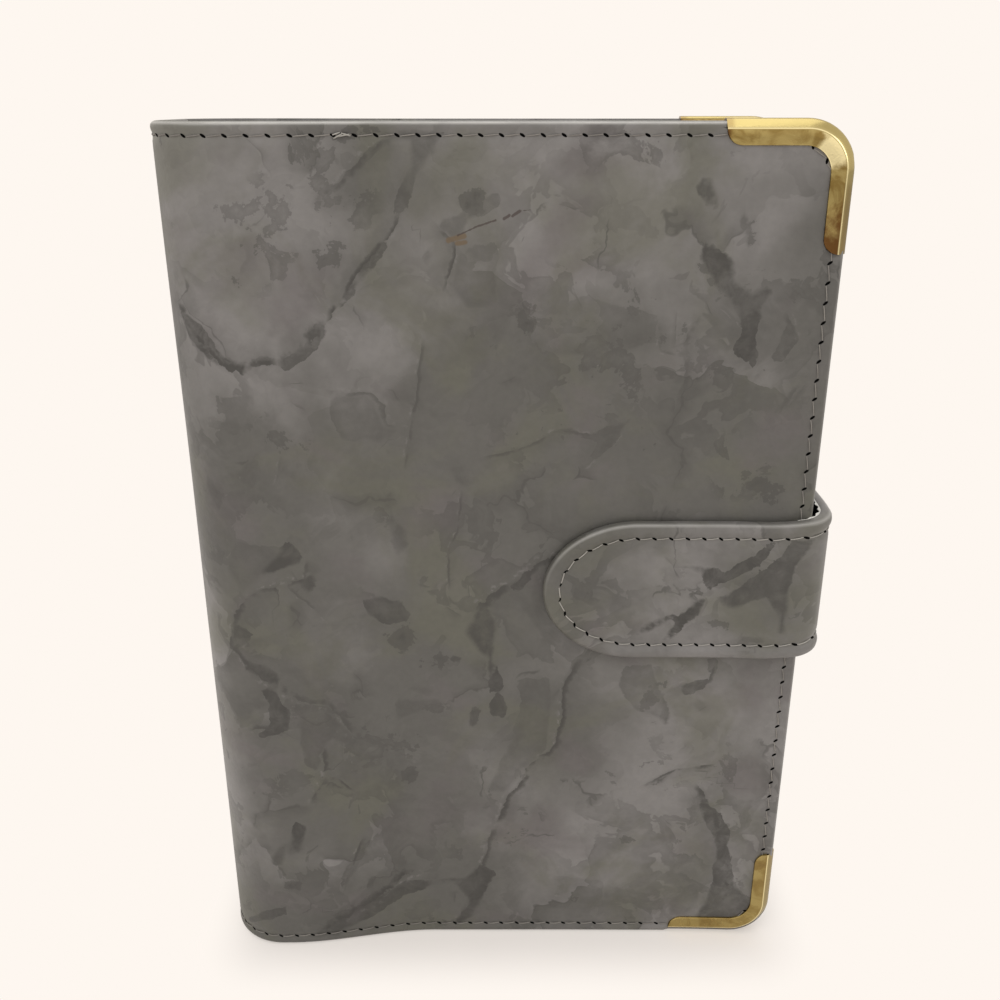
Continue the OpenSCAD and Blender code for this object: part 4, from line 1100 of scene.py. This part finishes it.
def cornerStations():
    # Walks the outer edge from one arm's end round the corner to the other's: place, inward normal, width
    outer = cover["cornerRadius"] + corner["metal"]
    arm, wide, endR = corner["arm"], corner["width"], corner["endRadius"]
    gaps = [endR * (1 - math.cos(math.pi / 2 * i / 8)) for i in range(9)]
    gaps += straightSteps(endR, arm - outer, corner["armStep"])
    stations = []
    for gap in gaps:
        inEnd = max(0.0, endR - gap)
        stations.append((arm - gap, 0.0, 0.0, 1.0, wide - endR + math.sqrt(endR ** 2 - inEnd ** 2)))
    stations = stations[:-1]
    middle = wide + corner["innerRadius"] - outer
    for i in range(corner["steps"] + 1):
        t = math.pi / 2 * i / corner["steps"]
        na, nb = math.sin(t), math.cos(t)       # towards the corner's centre
        along = middle * (na + nb)
        width = outer - (corner["innerRadius"] ** 2 - 2 * middle ** 2 + along ** 2) ** 0.5 + along
        stations.append((outer - outer * na, outer - outer * nb, na, nb, width))
    mirrored = [(b, a, nb, na, w) for a, b, na, nb, w in reversed(stations[:len(gaps) - 1])]
    return stations + mirrored


def makeCorner(name, half, top):
    side = 1 if half == "front" else -1
    end = foldEnd + cover[half] - cover["foldRadius"]
    place = coverPlacer(side, cover[half])
    m, bevel, deep = corner["metal"], corner["bevel"], cover["thickness"]
    outside = lambda w: [
        (w, -0.12), (w - 0.06, -m + 0.1), (w - 0.2, -m), ((w + bevel) / 2, -m), (bevel + 0.32, -m),
        (bevel + 0.08, -m + 0.03), (bevel - 0.14, -m + 0.14), (0.34, 0.9), (0.1, 1.2), (0.0, 1.6), (0.0, deep - 0.3),
        (0.12, deep + 0.1), (0.4, deep + 0.4), (0.8, deep + m), (w - 0.2, deep + m), (w - 0.06, deep + m - 0.1),
        (w, deep + 0.12)]
    inside = lambda w: [
        (w - 0.01, -0.02), (w - 0.06, -0.02), (w - 0.2, -0.02), ((w + bevel) / 2, -0.02), (bevel + 0.25, -0.02),
        (bevel + 0.15, 0.0), (bevel, 0.08), (0.8, 1.15), (0.58, 1.4), (0.46, 1.7), (0.46, deep - 0.4),
        (0.5, deep - 0.15), (0.62, deep), (0.85, deep + 0.03), (w - 0.2, deep + 0.03), (w - 0.06, deep + 0.03),
        (w - 0.01, deep + 0.03)]
    rings = []
    for a, b, na, nb, width in cornerStations():
        loop = outside(width) + inside(width)[::-1]
        w, depth = np.array(loop).T
        path = end + m - (a + na * w)
        z = cover["height"] + m - (b + nb * w) if top else b + nb * w
        rings.append(place(path, z, depth))
    count, half2 = len(rings[0]), len(rings[0]) // 2
    faces = []
    for i in range(len(rings) - 1):
        for j in range(count):
            k = (j + 1) % count
            faces.append((i * count + j, i * count + k, (i + 1) * count + k, (i + 1) * count + j))
    for first in (0, (len(rings) - 1) * count):
        faces += [(first + j, first + j + 1, first + count - 2 - j, first + count - 1 - j) for j in range(half2 - 1)]
    thing = meshObject(name, np.concatenate(rings), faces, sharp=35)
    # Per profile point: face, painted highlight on the crease (1.0 and 0.68), and bevel
    shine = np.zeros(count)
    shine[:5], shine[5], shine[6], shine[7:13] = 0.0 if top else 0.24, 1.0, 0.68, 0.5
    along = np.linspace(0, 1, len(rings))
    # Brown tarnish towards the arms' ends; on top corners a painted reflection at the bend, given as negative tarnish
    ends = 0.8 * ease((0.14 - along) / 0.14) + ease((along - 0.58) / 0.36)
    worn = ends - 1.3 * np.exp(-((along - 0.53) / 0.12) ** 2) if top else 0.2 + 0.08 * np.sin(9 * along)
    setAttribute(thing, "bevelAndGlint", np.tile(shine, len(rings)))
    setAttribute(thing, "tarnishAndGleam", np.repeat(worn, count))
    dress(thing, finishes["gold_corner"])
    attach(thing, half + "_cover")
    return thing


for half in ("front", "back"):
    for level in ("top", "bottom"):
        made = makeCorner(half + level.capitalize() + "Corner", half, level == "top")
        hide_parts("corner_%s_%s" % (half, level))
print("corners bent")


# Strap: from the back cover round the fore-edge, ending in a rounded tip on the front

strap = {
    "height": nodeBox("strap_leather")[1].z - nodeBox("strap_leather")[0].z,
    "tipAt": nodeBox("strap_leather")[0].x, "out": nodeBox("strap_leather")[1].x,
    "anchorAt": nodeBox("strap_anchor")[0].x, "flexAt": nodeBox("strap_anchor")[1].x,
    "thickness": 2.2, "leather": 1.2, "gap": 0.3, "tip": 20, "anchorRadius": 3,
    "split": -2.0,                              # y where the two parts meet, on the straight past the fore-edge
    "round": 1.05, "inner": 0.35, "wall": 1.2, "rowSteps": 26, "columnStep": 1.3,
    "bend": 4.4, "bendStep": 0.35, "offCover": 0.45, "offStart": 118, "rise": 2.0,
}
strapSeam = {
    "inset": 3.4, "pitch": 3.5, "groove": 0.35, "width": 0.9, "puff": 0.35, "wave": 0.06,
    "thread": 0.12, "lean": -0.55, "leanDown": 0.0,
}
strapLow = cover["height"] / 2 - strap["height"] / 2
bendRadius = strap["out"] - cover["front"] - strap["thickness"]


def strapFace(u):
    # Where the strap's inner face runs over the front cover
    away = strap["gap"] + strap["offCover"] * ease((u - strap["offStart"]) / 12)
    return float(coverFace(u, cover["front"]) - away)


def strapRoute(part):
    # Points of the strap's inner face from the split, with normals that point out of it
    backY = -float(coverFace(cover["back"], cover["back"]))
    outX = cover["front"] + bendRadius
    route = [(outX, strap["split"])]
    if part == "front":
        middle = (outX - strap["bend"], strapFace(outX - strap["bend"]) + strap["bend"])
        route += straightRoute(outX, strap["split"], outX, middle[1])
        route += arcPoints(*middle, strap["bend"], 0, -90, 18)[1:]
        us = np.linspace(middle[0], strap["tipAt"] - 0.5, 60)[1:]
        route += [(u, strapFace(u)) for u in us]
    else:
        route += straightRoute(outX, strap["split"], outX, backY - bendRadius)
        route += arcPoints(cover["front"], backY - bendRadius, bendRadius, 0, 90, 14)[1:]
        us = np.linspace(cover["front"], strap["anchorAt"], 50)[1:]
        route += [(u, -float(coverFace(u, cover["back"]))) for u in us]
    route = np.array(route)
    steps = np.hypot(*np.diff(route, axis=0).T)
    walked = np.concatenate([[0], np.cumsum(steps)])
    along = np.gradient(route, walked, axis=0)
    along /= np.linalg.norm(along, axis=1)[:, None]
    out = np.stack([-along[:, 1], along[:, 0]], -1) * (-1 if part == "front" else 1)
    return walked, route, -out


def straightRoute(u0, y0, u1, y1):
    return [(u0 + (u1 - u0) * i / 8, y0 + (y1 - y0) * i / 8) for i in range(1, 9)]


def bendEnds():
    # Where the bend starts and ends, measured over the front part from the split
    straight = strap["split"] - strapFace(cover["front"] + bendRadius - strap["bend"]) - strap["bend"]
    return straight, straight + strap["bend"] * math.pi / 2


def strapPlacer(part):
    walked, route, out = strapRoute(part)
    climbEnd = bendEnds()[1]

    def place(a, b, depth):
        a = np.asarray(a, float)
        past = np.maximum(a - walked[-1], 0)
        slide = (route[-1] - route[-2]) / np.hypot(*(route[-1] - route[-2]))
        u = np.interp(a, walked, route[:, 0]) + past * slide[0]
        y = np.interp(a, walked, route[:, 1]) + past * slide[1]
        nu, ny = np.interp(a, walked, out[:, 0]), np.interp(a, walked, out[:, 1])
        size = np.hypot(nu, ny)
        h = strap["thickness"] - depth
        rise = strap["rise"] * (ease((climbEnd + 8 - a) / 20) if part == "front" else 1)
        return np.stack([u + nu / size * h, y + ny / size * h, strapLow + b + rise + 0 * u], -1)
    return place, walked[-1]


# Distance from the strap's tip, and height above its lower edge
strapVeins = {"hair": (0.9, 0.7, [(25, 25), (28, 22), (31, 22)])}
strapFacets = {
    "wing": (0.95, [(28, 22), (29, 23), (33, 23), (37, 22), (38, 20), (36, 17), (35, 17), (34, 20), (31, 21)]),
    "strand": (1.0, [(33, 14), (38, 18), (43, 21), (47, 24), (49, 28), (47, 28), (45, 25), (40, 22), (36, 18)]),
    "mass": (0.85, [(37, 15), (42, 18), (46, 21), (50, 25), (52, 28), (56, 28), (54, 23), (53, 19), (53, 6), (51, 6),
                    (50, 12), (48, 15), (45, 14), (42, 12), (39, 12)]),
    "root": (1.0, [(36, 15), (34, 11), (31, 8), (28, 4), (24, 3), (27, 7), (30, 11), (33, 15)]),
    "foot": (0.95, [(19, 5), (21, 8), (25, 10), (28, 11), (28, 10), (25, 7), (22, 6)]),
    "arm": (0.75, [(15, 14), (17, 13), (17, 9), (19, 6), (18, 4), (16, 9)]),
    "spot": (0.5, [(6, 14), (7, 18), (10, 19), (11, 15), (14, 15), (12, 13)]),
    "chips": (0.8, [(31, 15), (33, 17), (34, 16), (32, 14)]),
    "lowBar": (0.45, [(43, 6), (49, 6), (49, 4), (43, 4)]),
}
strapPatches = {"tipSpot": (9, 16, 4, 3, 0.4), "underTrunk": (38, 9, 5, 2, 0.5)}
strapTones = {
    "light": (26, 20, 12, 9, 0.5), "shade": (48, 14, 8, 14, -0.3), "tip": (6, 14, 7, 12, -0.4),
    "side": (63, 14, 6, 18, 1.0),
}


def makeStrapPart(part):
    place, length = strapPlacer(part)
    height = strap["height"]
    front = part == "front"

    def rowsAt(inset):
        if front:
            return tipRows(length, height, strap["tip"], inset, strap["rowSteps"])
        return boxRows(length, height, strap["anchorRadius"], inset, 8, strap["columnStep"])

    def fromEdge(a, b):
        if not front:
            return edgeDistance(a, b, length, height, strap["anchorRadius"])
        half, tip = height / 2, strap["tip"]
        da, db = np.maximum(a - (length - tip), 0), b - half
        turn = np.arctan2(db / half, da / tip)
        size = np.hypot(da / tip, db / half)
        slope = np.hypot(np.cos(turn) / tip, np.sin(turn) / half)
        return np.where(da > 0, (1 - size) / slope, np.minimum(b, height - b))

    def lift(a, b):
        return leatherLift(a, b, fromEdge(a, b), strapSeam)

    columns = [0]
    if front:
        bendStart, bendEnd = bendEnds()
        columns += straightSteps(0, bendStart, strap["columnStep"])
        columns += straightSteps(bendStart, bendEnd, strap["bendStep"])
    columns += straightSteps(columns[-1], length - 20, strap["columnStep"]) + straightSteps(length - 20, length, 0.9)
    # wear scales the painted rim highlight on the strap
    rim = {"round": strap["round"], "inner": strap["inner"], "wall": strap["wall"], "wearAndHighlight": 0.55,
           "deep": lambda a: strap["thickness"] + 0 * a, "under": lambda a: strap["leather"] + 0 * a}
    fixed = length - 22 if front else length - 6
    thing, plan = rimmedSheet(part + "StrapLeather", rowsAt, columns, fixed, place, rim, lift)
    fromTip = (length - plan[:, 0]) if front else length + plan[:, 0]
    plan = np.stack([fromTip, plan[:, 1]], -1)
    if front:
        printMarble(thing, plan, strapVeins, strapFacets, strapPatches, strapTones)
    else:
        far = ((80, 0), (130, 32))
        printMarble(thing, plan, wandering(21, 5, *far, 8), cutFacets(24, 5, *far, 5),
                    scattered(22, 6, *far, 4, (0.6, 0.9)), scattered(23, 3, *far, 16, (-0.6, 0.6)))
    layer = thing.data.uv_layers["unrolled"]
    loops = np.zeros(len(thing.data.loops), int)
    thing.data.loops.foreach_get("vertex_index", loops)
    shifted = (plan[loops] + [400, 60]) / 100
    layer.uv.foreach_set("vector", shifted.astype(np.float32).ravel())
    dress(thing, finishes["marbled_leather"])
    # Lining inside the leather's turned edges
    inset = strap["wall"] + 0.1
    rows = straightSteps(inset, height - inset, 3)
    cols = straightSteps(0, length - (20 if front else 2), 0.9)
    lining = thinSheet(part + "StrapLining", cols, [inset] + rows, place, strap["leather"] + 0.02,
                       strap["thickness"] - 0.05)
    dress(lining, foldLiningMaterial)
    return thing, lining, place, length, lift


crumple = {"pitch": 2.3, "tooth": 0.27, "stand": 0.3, "tall": 7, "step": 0.12, "length": 19}


def makeCrumple(place):
    # At the bend the lining's upper edge stands off in small teeth, with its raw edge showing as a near-white strip
    # that is partly raw edge and partly a painted highlight
    height, deep = strap["height"], strap["thickness"]

    def stand(a):
        saw = np.abs((a / crumple["pitch"]) % 1 - 0.5) * 4 - 1
        return (crumple["stand"] + crumple["tooth"] * saw) * ease((crumple["length"] - a) / 4)

    def face(a, b, depth):
        up = ease((b - height + crumple["tall"]) / crumple["tall"])
        return place(a, b, depth + np.where(depth > deep - 0.05, stand(a) * up, 0))

    def edge(a, across, depth):
        return place(a, height - 0.06 - depth, deep - 0.1 + across * (stand(a) + 0.12))

    along = straightSteps(0, crumple["length"], crumple["step"])
    upward = [height - crumple["tall"]] + straightSteps(height - crumple["tall"], height - 0.2, 0.8)
    dark = thinSheet("strapCrumple", along, upward, face, deep - 0.2, deep + 0.02)
    pale = thinSheet("strapRawEdgeHighlight", along, [0, 0.5, 1], edge, 0, 0.16)
    dress(dark, crumpleMaterial)
    dress(pale, rawEdgeHighlightMaterial)
    return dark, pale


def strapBlend(thing):
    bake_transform(thing)


for part in ("front", "back"):
    leatherPiece, liningPiece, place, length, lift = makeStrapPart(part)
    inset, height = strapSeam["inset"], strap["height"]
    pieces = SeamPieces()
    if part == "front":
        half, tip = height / 2, strap["tip"]
        route = [(0, height - inset)]
        for i in range(25):
            t = math.pi * (0.5 - i / 24)
            route.append((length - tip + (tip - inset) * math.cos(t), half + (half - inset) * math.sin(t)))
        route.append((0, inset))
        pieces.sew(place, route, strapSeam, lift, 9)
        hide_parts("strap_leather")
        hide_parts("strap_lining")
        for thing in makeCrumple(place):
            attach(thing, "strap")
    else:
        route = [(0, height - inset), (length - inset, height - inset), (length - inset, inset), (0, inset)]
        pieces.sew(place, route, strapSeam, lift, 10)
        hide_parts("strap_anchor")
    for thing in (leatherPiece, liningPiece, *pieces.build(part + "StrapSeam", strapThread)):
        if part == "front":
            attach(thing, "strap")
        else:
            strapBlend(thing)
print("strap sewn")


# Camera where the photograph was taken, pale floor, soft light

view = {"place": (-2.02, -216.17, 192.84), "pitch": 21.11, "lens": 36.92}
backdrop = srgb(254, 247, 240)
floorLook = {"halfLength": 58, "halfWidth": 18, "shadowReach": 18, "glow": 0.35}


def makeCamera():
    data = bpy.data.cameras.new("camera")
    data.lens, data.sensor_width = view["lens"], 36
    data.clip_start, data.clip_end = 0.01, 50
    camera = bpy.data.objects.new("camera", data)
    camera.location = Vector(view["place"]) / metre
    camera.rotation_euler = (math.radians(90 - view["pitch"]), 0, 0)
    bpy.context.scene.collection.objects.link(camera)
    bpy.context.scene.camera = camera


def makeFloor():
    mesh = bpy.data.meshes.new("floor")
    reach = 12                                  # metres
    corners = [(-reach, -reach, 0), (reach, -reach, 0), (reach, reach, 0), (-reach, reach, 0)]
    mesh.from_pydata(corners, [], [(0, 1, 2, 3)])
    floor = bpy.data.objects.new("floor", mesh)
    bpy.context.scene.collection.objects.link(floor)
    material, tree, shader = newMaterial("paleFloor")
    v = objectVector(tree)
    parts = addNode(tree, "SeparateXYZ", {0: v})
    # How far a spot lies outside the binder's footprint
    outX = maths(tree, "SUBTRACT", maths(tree, "ABSOLUTE", parts.outputs["X"]), floorLook["halfLength"])
    outY = maths(tree, "SUBTRACT", maths(tree, "ABSOLUTE", parts.outputs["Y"]), floorLook["halfWidth"])
    outside = addNode(tree, "CombineXYZ", {0: maths(tree, "MAXIMUM", outX, 0.0), 1: maths(tree, "MAXIMUM", outY, 0.0)})
    gap = addNode(tree, "VectorMath", {0: outside.outputs[0]}, operation="LENGTH").outputs["Value"]
    far = ramp(tree, gap, 0.0, floorLook["shadowReach"], floorLook["glow"], 1.0)
    shader.inputs["Roughness"].default_value = 0.9
    shader.inputs["Specular IOR Level"].default_value = 0.1
    speck = cloud(tree, v, 40, 3, 0.5)
    tree.links.new(blendColour(tree, ramp(tree, speck, 0.3, 0.7), srgb(247, 241, 235), srgb(250, 244, 238)),
                   shader.inputs["Base Color"])
    glow = addNode(tree, "Emission", {"Color": backdrop, "Strength": 1.0})
    seen = addNode(tree, "LightPath").outputs["Is Camera Ray"]
    share = maths(tree, "MULTIPLY", seen, far)
    mixed = addNode(tree, "MixShader", {0: share, 1: shader.outputs[0], 2: glow.outputs[0]})
    tree.links.new(mixed.outputs[0], tree.nodes["Material Output"].inputs["Surface"])
    floor.data.materials.append(material)


light = {
    "sky": 0.62,
    "lamps": {
        "key": ((-520, -640, 900), 620, 3.2), "top": ((80, 120, 1100), 800, 2.6), "right": ((760, -420, 520), 420, 0.9),
    },
}


def makeLight():
    world = bpy.data.worlds.new("studio")
    world.use_nodes = True
    tree = world.node_tree
    path = addNode(tree, "LightPath")
    seen = maths(tree, "MAXIMUM", path.outputs["Is Camera Ray"], path.outputs["Is Glossy Ray"])
    seen = maths(tree, "MAXIMUM", seen, path.outputs["Is Transmission Ray"])
    shown = addNode(tree, "Background", {"Color": backdrop, "Strength": 1.0})
    lighting = addNode(tree, "Background", {"Color": srgb(252, 250, 250), "Strength": light["sky"]})
    mixed = addNode(tree, "MixShader", {0: seen, 1: lighting.outputs[0], 2: shown.outputs[0]})
    tree.links.new(mixed.outputs[0], tree.nodes["World Output"].inputs["Surface"])
    bpy.context.scene.world = world
    for name, (place, size, power) in light["lamps"].items():
        data = bpy.data.lights.new(name, "AREA")
        data.size, data.energy = size / metre, power
        lamp = bpy.data.objects.new(name, data)
        lamp.location = Vector(place) / metre
        aim = Vector((0, 0, 0.09)) - lamp.location
        lamp.rotation_euler = aim.to_track_quat("-Z", "Y").to_euler()
        bpy.context.scene.collection.objects.link(lamp)


makeCamera()
makeFloor()
makeLight()
bpy.context.scene.view_settings.view_transform = "Standard"

print("scene ready")
